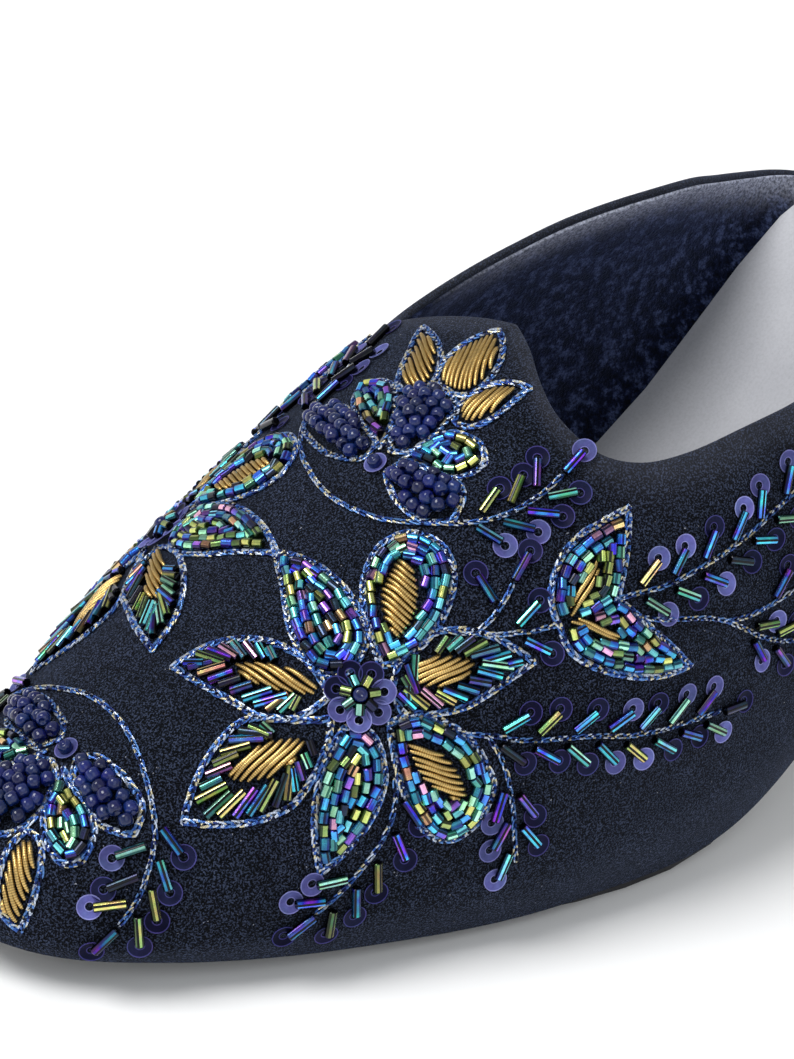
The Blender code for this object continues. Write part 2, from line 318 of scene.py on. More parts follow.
def grid_quads(rows, columns, first=0, wrap=False):
    """The quads of a grid of points stored row by row."""
    width = columns if wrap else columns - 1
    row = np.arange(rows - 1)[:, None] * columns
    a = row + np.arange(width)[None, :]
    b = row + (np.arange(width)[None, :] + 1) % columns
    return first + np.stack([a, b, b + columns, a + columns], -1).reshape(-1, 4)


def cap(first, sides):
    """Quads across the ring of points that starts at first."""
    k = np.arange(sides // 2 - 1)
    return first + np.stack([k, k + 1, sides - 2 - k, sides - 1 - k], -1)


def capped_rings(rings, sides):
    """Quads of rings of points stored one after another, with a cap at either end."""
    ends = [cap(0, sides)[:, ::-1], cap((rings - 1) * sides, sides)]
    return np.concatenate([grid_quads(rings, sides, wrap=True), *ends])


def looped_rings(rings, sides):
    """Quads of rings of points stored one after another, the last of them joined to the first."""
    first = np.arange(sides)
    last = (rings - 1) * sides + first
    joint = np.stack([last, np.roll(last, -1), np.roll(first, -1), first], -1)
    return np.concatenate([grid_quads(rings, sides, wrap=True), joint])


class Pile:
    """Many small shapes gathered into one mesh, with a colour for each face or each of its corners."""

    def __init__(self):
        self.points = []
        self.quads = []
        self.tints = []
        self.count = 0

    def add(self, points, quads, tints):
        self.points.append(points)
        self.quads.append(quads + self.count)
        self.tints.append(np.broadcast_to(tints.reshape(len(quads), -1, 3), (len(quads), 4, 3)))
        self.count += len(points)

    def add_copies(self, shape, origins, x_axes, y_axes, z_axes, colours):
        """Copies of a shape.  colours holds a row of colours for each copy, read by the shape's shades."""
        points, quads, shades = shape
        copies = len(origins)
        placed = (
            origins[:, None, :]
            + points[None, :, 0, None] * x_axes[:, None, :]
            + points[None, :, 1, None] * y_axes[:, None, :]
            + points[None, :, 2, None] * z_axes[:, None, :]
        )
        offsets = np.arange(copies)[:, None, None] * len(points)
        tints = colours[:, shades, :]
        self.add(placed.reshape(-1, 3), (quads[None] + offsets).reshape(-1, 4), tints.reshape(-1, 3))

    def make(self, name, material, slot, sharp):
        points, quads, tints = (np.concatenate(rows) for rows in (self.points, self.quads, self.tints))
        add_piece(name, new_mesh(name, points, quads, tints), material, slot, sharp)


# ---------------------------------------------------------------- materials


def srgb(*levels):
    """A colour given as levels from 0 to 255, as the linear numbers that shaders take."""
    shares = [level / 255.0 for level in levels]
    return tuple(s / 12.92 if s <= 0.04045 else ((s + 0.055) / 1.055) ** 2.4 for s in shares)


class Finish:
    """A material with a Principled shader, and short ways to add the nodes that feed it."""

    def __init__(self, name, **sockets):
        self.material = bpy.data.materials.new(name)
        self.material.use_nodes = True
        self.tree = self.material.node_tree
        self.shader = self.tree.nodes["Principled BSDF"]
        self.place = self.node("TexCoord").outputs["Object"]
        for name, value in sockets.items():
            self.feed(name.replace("_", " "), value)

    def put(self, socket, value):
        """Links another node's output to a socket, or sets the socket to a number or a colour."""
        if isinstance(value, bpy.types.NodeSocket):
            self.tree.links.new(value, socket)
        else:
            socket.default_value = (*value, 1.0) if isinstance(value, tuple) else value

    def feed(self, name, value):
        """Puts a value or an output into one of the shader's own sockets."""
        self.put(self.shader.inputs[name], value)

    def node(self, kind, **inputs):
        """A new node, with what goes into its sockets."""
        node = self.tree.nodes.new("ShaderNode" + kind)
        for name, value in inputs.items():
            self.put(node.inputs[name], value)
        return node

    def noise(self, size, detail, roughness=0.6, stretch=(1.0, 1.0, 1.0)):
        """Cloudy noise whose blobs are about size millimetres across, longer along a stretched axis."""
        scale = [1.0 / (size * METRES * s) for s in stretch]
        place = self.node("Mapping", Vector=self.place, Scale=scale).outputs["Vector"]
        noise = self.node("TexNoise", Vector=place, Scale=1.0, Detail=detail, Roughness=roughness)
        return noise.outputs["Fac"]

    def ramp(self, factor, *stops):
        """Colours or grey levels at places of a factor from 0 to 1."""
        ramp = self.node("ValToRGB", Fac=factor)
        elements = ramp.color_ramp.elements
        while len(elements) < len(stops):
            elements.new(0.5)
        for element, (place, colour) in zip(elements, stops):
            element.position = place
            element.color = (*colour, 1.0) if isinstance(colour, tuple) else (colour,) * 3 + (1.0,)
        return ramp.outputs["Color"]

    def mix(self, factor, low, high, blend="MIX"):
        """One colour over another, which may each be a plain colour or an output."""
        mix = self.node("Mix")
        mix.data_type = "RGBA"
        mix.blend_type = blend
        for index, value in ((0, factor), (6, low), (7, high)):
            self.put(mix.inputs[index], value)
        return mix.outputs[2]

    def turned_hue(self, colour, factor, play):
        """A colour with its hue turned back and forth by up to play of the whole circle."""
        hue = self.ramp(factor, (0.3, 0.5 - play), (0.7, 0.5 + play))
        return self.node("HueSaturation", Hue=hue, Color=colour).outputs["Color"]

    def add(self, first, second, share):
        """first + share * second"""
        node = self.node("Math")
        node.operation = "MULTIPLY_ADD"
        for index, value in enumerate((second, share, first)):
            self.put(node.inputs[index], value)
        return node.outputs[0]

    def tint(self, layer="tint"):
        """The colour painted on the corners of the faces."""
        node = self.node("Attribute")
        node.attribute_name = layer
        return node.outputs["Color"]

    def shaded_tint(self, shade):
        """The painted colour, darkened by grey levels."""
        return self.mix(1.0, self.tint(), shade, "MULTIPLY")

    def bump(self, height, depth):
        """Relief of about depth millimetres."""
        self.feed("Normal", self.node("Bump", Distance=depth * METRES, Height=height).outputs["Normal"])


def suede_material():
    """Near-black micro suede: cloudy strokes, a fine nap, a painted highlight where its tint is, and pale
    fibre ends.
    """
    finish = Finish(
        "black_suede", Roughness=0.95, Sheen_Weight=0.16, Sheen_Roughness=0.4,
        Sheen_Tint=srgb(160, 175, 215), Specular_IOR_Level=0.1,
    )
    strokes = finish.ramp(finish.noise(7.0, 4.0, 0.62), (0.3, 0.62), (0.7, 1.0))
    nap = finish.noise(0.26, 2.0, 0.6)
    shades = finish.ramp(nap, (0.39, srgb(0, 1, 2)), (0.5, srgb(6, 9, 17)), (0.62, srgb(55, 64, 86)))
    # Painted highlight: the nap is painted paler along the rolled edge, where the tint is white
    edge_lit = finish.mix(finish.ramp(finish.tint(), (0.0, 0.0), (1.0, 0.22)), shades, srgb(88, 90, 100))
    fibres = finish.ramp(finish.noise(0.5, 1.0, 0.5), (0.78, 0.0), (0.81, 1.0))
    brushed = finish.mix(1.0, edge_lit, strokes, "MULTIPLY")
    finish.feed("Base Color", finish.mix(fibres, brushed, srgb(130, 132, 142)))
    finish.bump(finish.add(nap, finish.noise(1.3, 3.0), 0.5), 0.2)
    return finish.material


def lining_material():
    """Blue-black pile, mottled where it lies in different directions, with a painted highlight where its tint
    is.
    """
    finish = Finish(
        "pile_lining", Roughness=0.95, Sheen_Weight=0.4, Sheen_Roughness=0.5,
        Sheen_Tint=srgb(120, 135, 185), Specular_IOR_Level=0.1,
    )
    shades = (0.38, srgb(4, 8, 23)), (0.5, srgb(19, 27, 56)), (0.62, srgb(72, 84, 124))
    mottle = finish.ramp(finish.noise(2.2, 4.0, 0.7), *shades)
    pile = finish.noise(0.5, 3.0, 0.7)
    # Painted highlight: the lining is painted pale along the top of the quarters, where the tint is white
    pale = finish.mix(finish.tint(), mottle, srgb(192, 196, 214))
    hollows = finish.ramp(pile, (0.38, 0.06), (0.62, 1.0))
    finish.feed("Base Color", finish.mix(0.8, pale, hollows, "MULTIPLY"))
    finish.bump(finish.add(pile, finish.noise(2.2, 4.0, 0.7), 1.2), 0.4)
    return finish.material


def leather_material():
    """Smooth grey lining leather with a very fine grain, with near-black painted shade where its layer of
    shade is white.
    """
    finish = Finish("grey_leather", Roughness=0.36, Specular_IOR_Level=0.5)
    shades = (0.3, srgb(177, 178, 184)), (0.7, srgb(191, 192, 197))
    clouds = finish.ramp(finish.noise(24.0, 3.0, 0.5), *shades)
    grain = finish.noise(0.5, 3.0, 0.6)
    # Painted shade: near black where the upper covers the insole
    under_upper_shade = finish.mix(finish.tint("under_upper_shade"), clouds, srgb(24, 26, 34))
    pores = finish.ramp(grain, (0.3, 0.55), (0.6, 1.0))
    finish.feed("Base Color", finish.mix(0.25, under_upper_shade, pores, "MULTIPLY"))
    finish.feed("Roughness", finish.ramp(finish.noise(9.0, 3.0), (0.3, 0.3), (0.7, 0.44)))
    finish.bump(grain, 0.03)
    return finish.material


def sole_material():
    """Black sole leather, brushed along its length and lightly scuffed."""
    finish = Finish("sole_leather", Roughness=0.5, Specular_IOR_Level=0.4)
    brushed = finish.noise(0.8, 3.0, 0.6, stretch=(9.0, 1.0, 1.0))
    finish.feed("Base Color", finish.ramp(brushed, (0.3, srgb(22, 22, 25)), (0.75, srgb(40, 40, 44))))
    scuffs = finish.noise(12.0, 5.0, 0.7)
    finish.feed("Roughness", finish.ramp(scuffs, (0.35, 0.42), (0.7, 0.7)))
    finish.bump(finish.add(brushed, scuffs, 0.3), 0.05)
    return finish.material


def rubber_material():
    """Dull black rubber with a fine speckle."""
    finish = Finish("tip_rubber", Roughness=0.65, Specular_IOR_Level=0.35)
    speckle = finish.noise(0.6, 4.0, 0.7)
    finish.feed("Base Color", finish.ramp(speckle, (0.35, srgb(20, 20, 21)), (0.7, srgb(36, 36, 38))))
    finish.bump(speckle, 0.06)
    return finish.material


# ---------------------------------------------------------------- the upper and its lining

FOREPART_COLUMNS = 64
QUARTER_COLUMNS = 96
WALL_ROWS = 60
ROLL_STEPS = 7
WELD_DISTANCE = 0.02
SHARP_ANGLE = 40.0

SUEDE_THICKNESS = 1.35
LINING_DROP = 0.55

# How far the rolled edge is felt below it, how far the painted highlight along it reaches, over how many
# stations that highlight grows, and where it starts on the lining
EDGE_REACH = 3.0
EDGE_FADE = 4.5
PALE_REACH = 30.0
LINING_PALE_FROM = 95.0


def topline_at(side, shares):
    """Station and drop of the topline.  shares run from 0 at the throat to 1 at the quarter's end."""
    first = 0 if side < 0 else 2
    rows = TOPLINE[:, first:first + 2]
    along = lengths(rows)
    return (smooth_curve(along, column, shares * along[-1]) for column in rows.T)


def upper_grid(side):
    """Stations and signed drops of the points of one side, a row for each column of the mesh."""
    throat = TOPLINE[0, 0]
    part = np.arange(FOREPART_COLUMNS) / FOREPART_COLUMNS
    front_top = throat * (1.0 - np.cos(math.pi / 2 * part))
    front_foot = front_top - (throat - THROAT_FOOT) * (front_top / throat) ** 3
    front_aim = front_top - (throat - THROAT_AIM) * (front_top / throat) ** 4
    shares = np.linspace(0.0, 1.0, QUARTER_COLUMNS + 1)
    back_top, back_drop = topline_at(side, shares)
    back_foot = np.interp(shares, [0.0, CORNER_SHARE, 1.0], [THROAT_FOOT, CORNER_FOOT, QUARTER_END])
    back_aim = back_top - (throat - THROAT_AIM) * np.maximum(1.0 - shares / CORNER_SHARE, 0.0)
    foot = np.concatenate([front_foot, back_foot])[:, None]
    aim = np.concatenate([front_aim, back_aim])[:, None]
    top = np.concatenate([front_top, back_top])[:, None]
    top_drop = np.concatenate([np.zeros(FOREPART_COLUMNS), back_drop])[:, None]
    total = arc_length(top, side)
    share = np.arange(WALL_ROWS + 1)[None, :] / WALL_ROWS
    fall = 0.5 * share + 0.25 * (1.0 - np.cos(math.pi * share))
    drop = top_drop + (total - top_drop) * fall
    station = aim + (foot - aim) * fall + (top - aim) * np.exp((top_drop - drop) / THROAT_BEND)
    station[:, -1] = foot[:, 0]
    return station, side * drop / total * arc_length(station, side)


def strip(line, offset):
    """Quads between a line of points and the same line further on in the list."""
    return np.stack([line[:-1], line[1:], line[1:] + offset, line[:-1] + offset], -1)


def shell_side(side, depth, thickness, inset, pale_from):
    """Points, how pale each is, and quads of one side of a shell: its sheets, foot, roll and end."""
    radius = thickness / 2.0
    station, drop = upper_grid(side)
    columns, rows = station.shape
    back = slice(FOREPART_COLUMNS, None)
    face = skin(station, drop)
    normal = skin_normal(station, drop)

    upward = unit(np.cross(np.gradient(face[back, 0], axis=0), normal[back, 0]))
    inward = face[back, 1] - face[back, 0]
    upward *= -np.sign((upward * inward).sum(-1, keepdims=True))
    upward[0] = unit(skin(TOPLINE[0, 0], 0.0) - skin(TOPLINE[0, 0] - 1.0, 0.0))
    run = np.linalg.norm(np.diff(face[back], axis=1), axis=-1)
    run = np.concatenate([np.zeros((len(run), 1)), np.cumsum(run, axis=1)], axis=1)
    ease = (inset + radius) * np.exp(-run / EDGE_REACH)
    face[back] -= upward[:, None, :] * ease[..., None]
    outer = face - normal * depth
    inner = face - normal * (depth + thickness)

    angles = np.linspace(0.0, math.pi, ROLL_STEPS + 1)[None, :, None]
    edge_normal = normal[back, :1]
    centre = outer[back, :1] - edge_normal * radius
    roll = centre + radius * (edge_normal * np.cos(angles) + upward[:, None, :] * np.sin(angles))

    # Where the painted highlight goes: white at the rolled edge, fading to black below it
    grown = np.clip((station[back, :1] - pale_from) / PALE_REACH, 0.0, 1.0)
    near = np.zeros((columns, rows))
    near[back] = grown * np.exp(-((run / EDGE_FADE) ** 2))
    pale = [near.ravel(), near.ravel(), np.repeat(grown.ravel(), ROLL_STEPS + 1)]

    layer = columns * rows
    sheet = grid_quads(columns, rows)
    quads = [
        sheet, sheet[:, ::-1] + layer,
        strip(np.arange(columns) * rows + rows - 1, layer),
        grid_quads(len(roll), ROLL_STEPS + 1, 2 * layer),
        cap(2 * layer + (len(roll) - 1) * (ROLL_STEPS + 1), ROLL_STEPS + 1),
        strip((columns - 1) * rows + np.arange(rows), layer),
    ]
    points = [sheet_points.reshape(-1, 3) for sheet_points in (outer, inner, roll)]
    return np.concatenate(points), np.concatenate(pale), np.concatenate(quads)


def make_shell(name, depth, thickness, inset, material, slot, pale_from):
    """A closed shell that follows the upper, with a rolled edge along the throat and the quarters.

    depth is how far its face lies below the upper's surface, and inset how far below the topline.
    Its tint, which marks a painted highlight, is white at the edge and fades to black below it; it grows over
    PALE_REACH from a station.
    """
    inner, outer = (shell_side(side, depth, thickness, inset, pale_from) for side in (-1, 1))
    points, pale = (np.concatenate([inner[k], outer[k]]) for k in (0, 1))
    quads = np.concatenate([inner[2], outer[2] + len(inner[0])])
    mesh = new_mesh(name, points, quads, pale[quads][..., None])
    work = bmesh.new()
    work.from_mesh(mesh)
    bmesh.ops.remove_doubles(work, verts=work.verts, dist=WELD_DISTANCE * METRES)
    bmesh.ops.recalc_face_normals(work, faces=work.faces)
    work.to_mesh(mesh)
    work.free()
    return add_piece(name, mesh, material, slot, SHARP_ANGLE)


# ---------------------------------------------------------------- the sole, the insole and the heel

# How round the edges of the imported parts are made, in how many steps, and the bend in degrees up to which
# their faces count as flat
EDGE_RADII = {"insole": 0.7, "outsole": 0.35, "heel": 0.6, "heel_tip": 0.5}
EASED_STEPS = 3
FLAT_ANGLE = 0.5

# A face of the insole shows where its normal points up this far, and all over the seat, which starts
# just behind the quarters; the faces that the upper covers get painted shade
UP_FACING = 0.3
SEAT_START = QUARTER_END + 1.0 - LAST_LENGTH / 2.0


def make_eased(node, name, material, slot):
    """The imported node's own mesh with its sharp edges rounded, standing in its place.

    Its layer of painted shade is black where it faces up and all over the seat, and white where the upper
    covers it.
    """
    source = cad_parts[node]
    work = bmesh.new()
    work.from_mesh(source.data)
    bmesh.ops.transform(work, matrix=source.matrix_world, verts=work.verts)
    bmesh.ops.remove_doubles(work, verts=work.verts, dist=WELD_DISTANCE * METRES)
    bmesh.ops.dissolve_limit(
        work, angle_limit=math.radians(FLAT_ANGLE), verts=work.verts, edges=work.edges, delimit={"NORMAL"},
    )
    edges = [edge for edge in work.edges if edge.calc_face_angle(0.0) > math.radians(SHARP_ANGLE)]
    radius = EDGE_RADII[node] * METRES
    bmesh.ops.bevel(
        work, geom=edges, offset=radius, segments=EASED_STEPS, affect="EDGES", clamp_overlap=True,
    )
    mesh = bpy.data.meshes.new(name)
    work.to_mesh(mesh)
    work.free()
    paint = mesh.color_attributes.new("under_upper_shade", "FLOAT_COLOR", "CORNER")
    # Painted shade is marked on the faces that the upper covers
    for face in mesh.polygons:
        shown = face.normal.z > UP_FACING or face.center.x > SEAT_START * METRES
        for corner in face.loop_indices:
            paint.data[corner].color = (0.0, 0.0, 0.0, 1.0) if shown else (1.0, 1.0, 1.0, 1.0)
    piece = add_piece(name, mesh, material, slot, SHARP_ANGLE)
    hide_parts(node)


# ---------------------------------------------------------------- beads, sequins, purl and cord

RANDOM = np.random.default_rng(46)

# The sizes of the beads, sequins and threads, with the sides and steps of their meshes, and the shade of
# each side of a glass bead: its sides near the top carry painted highlights
BUGLE_LENGTH = 4.0
BUGLE_WIDTH = 1.27
BUGLE_BEVEL = 0.09
BUGLE_HIGHLIGHTS = [1, 3, 0, 0, 0, 0, 0, 0, 0, 3, 2, 0]
CUT_BEAD_LENGTH = 1.65
CUT_BEAD_WIDTH = 1.35
CUT_BEAD_BEVEL = 0.12
CUT_BEAD_HIGHLIGHTS = [0, 2, 2, 3, 0, 0, 0, 0, 0, 3, 1, 1]
BEAD_SIDES = 12
BEAD_BORE = 0.5
SEED_BEAD_WIDTH = 1.95
SEED_BEAD_LENGTH = 1.6
SEED_BEAD_HOLE = 0.5
SEQUIN_WIDTH = 3.3
SEQUIN_HOLE = 1.1
SEQUIN_SIDES = 20
SEQUIN_THICKNESS = 0.09
SEQUIN_CUP = 0.26
PURL_WIDTH = 0.78
CORD_THREAD = 0.28
CORD_THREAD_SIDES = 5
CORD_STEPS = 10
CORD_LINK = 1.9
CORD_PITCH = 1.25
CORD_WIDTH = 0.94
CORD_LIFT = 0.02
CORD_ROLL = 0.12

# The outer half of the embroidery is the inner half carried over this drop
MIRROR_DROP = -0.8

# The colours of a glass bead's coating, painted as two highlight stripes that stand for its reflections, and
# how often they come
IRIS = [
    (srgb(120, 225, 232), srgb(50, 150, 190), 3.4),
    (srgb(80, 175, 245), srgb(35, 85, 190), 4.2),
    (srgb(58, 120, 235), srgb(100, 80, 205), 2.6),
    (srgb(170, 238, 205), srgb(70, 165, 150), 2.8),
    (srgb(222, 226, 128), srgb(115, 140, 62), 2.5),
    (srgb(155, 182, 108), srgb(70, 95, 60), 1.8),
    (srgb(150, 105, 228), srgb(60, 60, 180), 0.8),
    (srgb(238, 178, 215), srgb(120, 85, 160), 0.5),
    (srgb(240, 200, 145), srgb(150, 115, 80), 0.7),
    (srgb(42, 56, 84), srgb(26, 30, 50), 1.8),
]
# How bright the painted highlight stripes are, and how much of the coating's second colour the dim painted
# reflection takes
COATING_AND_GLINT_STRENGTH = (0.35, 1.5)
COATING_DIM_GLINT = 0.25
BEAD_BLACK = srgb(9, 10, 15)
NAVY = srgb(15, 30, 86)
# A sequin's colours when lit and when dim: its face, then its edges with a painted highlight
SEQUIN_LIT = (srgb(102, 106, 174), srgb(142, 145, 208))
SEQUIN_DIM = (srgb(4, 6, 36), srgb(58, 56, 118))

# How far a sequin goes from its dim colours to its lit ones, when it catches the light and when it doesn't
LIT_DEGREES = (0.45, 1.15)
DIM_DEGREES = (0.0, 0.08)
# The gold of the purl, and how dark the painted shade in the grooves between its coils is
GOLD = srgb(242, 204, 128)
GROOVE_SHADE = 0.4

# The colours of the film along a cord, and how often each comes
CORD_COLOURS = [
    (srgb(205, 216, 235), 2.6),
    (srgb(222, 212, 176), 1.3),
    (srgb(96, 142, 208), 2.4),
    (srgb(58, 100, 182), 2.2),
    (srgb(30, 48, 112), 1.6),
    (srgb(12, 18, 44), 1.2),
]
CORD_PATCHES = 10


def pick(count, choices):
    """Rows of choices drawn by the weight that ends each of them."""
    weights = np.array([choice[-1] for choice in choices])
    return RANDOM.choice(len(choices), count, p=weights / weights.sum())


def turned_bead(profile, shades, phase=0.0):
    """A bead turned round the x axis.

    profile is rows of (x, radius), shades are those of each band between them, one or one for each
    side, and phase turns the bead by a share of a side.
    """
    angles = (np.arange(BEAD_SIDES) + phase) * 2.0 * math.pi / BEAD_SIDES
    x, radius = np.array(profile).T[:, :, None]
    ring = (x + 0.0 * angles, radius * np.sin(angles), radius * np.cos(angles))
    quads = capped_rings(len(profile), BEAD_SIDES)
    bands = np.concatenate([np.resize(shade, BEAD_SIDES) for shade in shades])
    bands = np.concatenate([bands, np.zeros(len(quads) - len(bands), int)])
    return np.stack(ring, -1).reshape(-1, 3), quads, bands


def glass_bead(length, width, bevel, around):
    """A twelve-sided glass tube.  around gives each side its shade, and the last side faces up.

    Shade 0 is the black glass, 1 and 2 are painted highlights in the two colours of its coating, and 3 a dim
    painted reflection.
    """
    radius = width / 2.0
    half = length / 2.0
    profile = [
        (-half, radius * BEAD_BORE), (-half, radius - bevel), (-half + bevel, radius),
        (half - bevel, radius), (half, radius - bevel), (half, radius * BEAD_BORE),
    ]
    # The bevels beside the painted highlights get the dim painted reflection
    rim = [3 if shade else 0 for shade in around]
    return turned_bead(profile, [[0], rim, around, rim, [0]], 0.5)


def seed_bead():
    """A round glass bead with its hole along x."""
    radius = SEED_BEAD_WIDTH / 2.0
    half = SEED_BEAD_LENGTH / 2.0
    hole = SEED_BEAD_HOLE / 2.0
    back = [
        (-0.7 * half, hole), (-half, 0.52 * radius), (-0.86 * half, 0.84 * radius), (-0.45 * half, radius),
    ]
    profile = back + [(-x, ring) for x, ring in reversed(back)]
    return turned_bead(profile, [[0]] * (len(profile) - 1))


def sequin():
    """A thin, slightly cupped disc with a hole, lying in the xy plane.  Shade 1 is its two edges, with a
    painted highlight.
    """
    outer = SEQUIN_WIDTH / 2.0
    hole = SEQUIN_HOLE / 2.0
    thick = SEQUIN_THICKNESS
    profile = np.array([
        (hole, 0.0), (hole, thick), (hole + 0.12, thick), (0.75 * outer, 0.1 + thick),
        (outer - 0.14, 0.22 + thick), (outer, SEQUIN_CUP + thick), (outer, SEQUIN_CUP), (0.75 * outer, 0.1),
    ])
    angles = np.arange(SEQUIN_SIDES) * 2.0 * math.pi / SEQUIN_SIDES
    radius, z = profile.T[:, :, None]
    ring = (radius * np.cos(angles), radius * np.sin(angles), z + 0.0 * angles)
    quads = looped_rings(len(profile), SEQUIN_SIDES)
    # Shade 1, the two edges, gets a painted highlight
    shades = np.repeat([1, 1, 0, 0, 1, 1, 0, 0], SEQUIN_SIDES)
    return np.stack(ring, -1).reshape(-1, 3), quads[:, ::-1], shades


def tube(line, upward, radius, sides, closed=False):
    """Points and quads of a tube along a line, its rings turned to the upward vectors."""
    ahead = np.roll(line, -1, axis=0) - np.roll(line, 1, axis=0) if closed else np.gradient(line, axis=0)
    ahead = unit(ahead)
    across = unit(np.cross(ahead, upward))[:, None, :]
    upward = np.cross(across[:, 0], ahead)[:, None, :]
    angles = (np.arange(sides) * 2.0 * math.pi / sides)[None, :, None]
    ring = across * np.cos(angles) + upward * np.sin(angles)
    points = (line[:, None, :] + ring * np.reshape(radius, (-1, 1, 1))).reshape(-1, 3)
    return points, (looped_rings if closed else capped_rings)(len(line), sides)


def cord_link():
    """One loop of a chain stitch: narrow where it comes up through the last one, round at its far end."""
    angles = np.arange(CORD_STEPS) * 2.0 * math.pi / CORD_STEPS
    along = 0.5 - 0.5 * np.cos(angles)
    half = (CORD_WIDTH - CORD_THREAD) / 2.0
    line = np.stack([
        CORD_LINK * along - CORD_LINK / 2.0,
        half * np.sin(angles) * (0.55 + 0.45 * along),
        CORD_THREAD / 2.0 + 0.3 * (1.0 - along),
    ], -1)
    upward = np.array([[0.0, 0.0, 1.0]])
    points, quads = tube(line, upward, CORD_THREAD / 2.0, CORD_THREAD_SIDES, closed=True)
    patches = np.repeat(np.arange(CORD_STEPS) * CORD_PATCHES // CORD_STEPS, CORD_THREAD_SIDES)
    return points, quads, patches


SHAPES = {
    "bugles": glass_bead(BUGLE_LENGTH, BUGLE_WIDTH, BUGLE_BEVEL, BUGLE_HIGHLIGHTS),
    "cut_beads": glass_bead(CUT_BEAD_LENGTH, CUT_BEAD_WIDTH, CUT_BEAD_BEVEL, CUT_BEAD_HIGHLIGHTS),
    "seed_beads": seed_bead(),
    "sequins": sequin(),
    "cords": cord_link(),
}


def bead_material(name, metallic, roughness, coat, gloss, play):
    """Coated glass: the painted colour, thinner in places, its hue turned back and forth by play."""
    finish = Finish(
        name, Metallic=metallic, Roughness=roughness, Coat_Weight=coat, Coat_Roughness=0.06,
        Specular_IOR_Level=gloss,
    )
    coated = finish.shaded_tint(finish.ramp(finish.noise(0.9, 2.0), (0.3, 0.7), (0.7, 1.0)))
    finish.feed("Base Color", finish.turned_hue(coated, finish.noise(2.4, 1.0), play))
    finish.bump(finish.noise(0.35, 2.0), 0.02)
    return finish.material


def purl_material():
    """Gilt wire purl, with painted shade in the grooves between its coils."""
    finish = Finish("gold_purl", Metallic=0.92, Roughness=0.28)
    finish.feed("Base Color", finish.shaded_tint(finish.ramp(finish.noise(1.3, 3.0), (0.3, 0.7), (0.7, 1.0))))
    finish.bump(finish.noise(0.18, 2.0), 0.04)
    return finish.material


def cord_material():
    """Metallic thread: strips of blue and silver film wound on a core."""
    finish = Finish("metallic_cord", Metallic=0.7, Roughness=0.32)
    film = finish.ramp(finish.noise(0.3, 2.0, 0.7), (0.35, 0.45), (0.62, 1.0))
    finish.feed("Base Color", finish.shaded_tint(film))
    finish.bump(finish.noise(0.12, 2.0), 0.05)
    return finish.material


def rotate(first, second, angle):
    """Two vectors at right angles, both turned in their plane so that the first goes towards the second."""
    angle = np.reshape(angle, (-1, 1))
    return first * np.cos(angle) + second * np.sin(angle), second * np.cos(angle) - first * np.sin(angle)


class Zone:
    """One part of the embroidery, with a pile for each kind of bead and thread."""

    def __init__(self, name, mirrored=False):
        self.name = name
        self.mirrored = mirrored
        self.piles = {kind: Pile() for kind in (*SHAPES, "purl")}

    def chart(self, points):
        """Stations and drops of charted points, carried over to the outer side in a mirrored zone."""
        points = np.array(points, float).reshape(-1, 2)
        if self.mirrored:
            points[:, 1] = 2.0 * MIRROR_DROP - points[:, 1]
        return points

    def lay(self, kind, station, drop, headings, lift, colours, length=1.0, breadth=1.0, roll=0.0, tilt=0.0):
        """Lays copies of a shape on the surface, turned to their headings in space."""
        normal = skin_normal(station, drop)
        origins = skin(station, drop) + normal * np.reshape(lift, (-1, 1))
        ahead = unit(headings - (headings * normal).sum(-1, keepdims=True) * normal)
        across = np.cross(normal, ahead)
        ahead, normal = rotate(ahead, normal, tilt)
        across, normal = rotate(across, normal, roll)
        ahead = ahead * np.reshape(length, (-1, 1))
        self.piles[kind].add_copies(SHAPES[kind], origins, ahead, across * breadth, normal, colours)

    def lay_one(self, kind, station, drop, heading, lift, colours, **turns):
        """Lays a single shape, from plain numbers and one vector."""
        self.lay(kind, np.array([station]), np.array([drop]), heading[None], lift, colours, **turns)


def glass_colours(count, depth=0.0):
    """Four colours for each glass bead, as glass_bead's shades read them: black glass, two painted highlights
    and a dim painted reflection.

    depth is how much of its colour may shine through the black glass.
    """
    rows = pick(count, IRIS)
    bright = np.array([IRIS[row][0] for row in rows])
    other = np.array([IRIS[row][1] for row in rows])
    strength = RANDOM.uniform(*COATING_AND_GLINT_STRENGTH, (count, 1))
    swap = RANDOM.random(count) < 0.5
    first = np.where(swap[:, None], bright, bright * 0.85) * strength
    second = np.where(swap[:, None], other, bright) * strength
    black = np.array(BEAD_BLACK) + other * RANDOM.uniform(0.0, depth, (count, 1))
    return np.stack([black, first, second, COATING_DIM_GLINT * other + 0.5 * black], 1)


# Points of a fine line for each charted one
LINE_STEPS = 24


def fine_line(zone, charted):
    """Stations and drops of a smooth line through charted points, close together."""
    points = zone.chart(charted)
    chord = lengths(points)
    at = np.linspace(0.0, chord[-1], LINE_STEPS * len(points))
    return np.stack([smooth_curve(chord, column, at) for column in points.T], -1)


def lay_cord(zone, charted, breadth=1.0):
    """A chain-stitched cord along a smooth line through charted points."""
    line = fine_line(zone, charted)
    points = skin(*line.T)
    along = lengths(points)
    count = max(int(round(along[-1] * breadth / CORD_PITCH)), 1)
    at = (np.arange(count) + 0.5) * along[-1] / count
    station, drop = read_along(at, along, line).T
    headings = read_along(at, along, np.gradient(points, along, axis=0))
    rows = pick(count * CORD_PATCHES, CORD_COLOURS)
    colours = np.array([CORD_COLOURS[row][0] for row in rows]).reshape(count, CORD_PATCHES, 3)
    roll = RANDOM.normal(0.0, CORD_ROLL, count)
    zone.lay("cords", station, drop, headings, CORD_LIFT, colours, breadth=breadth, roll=roll)


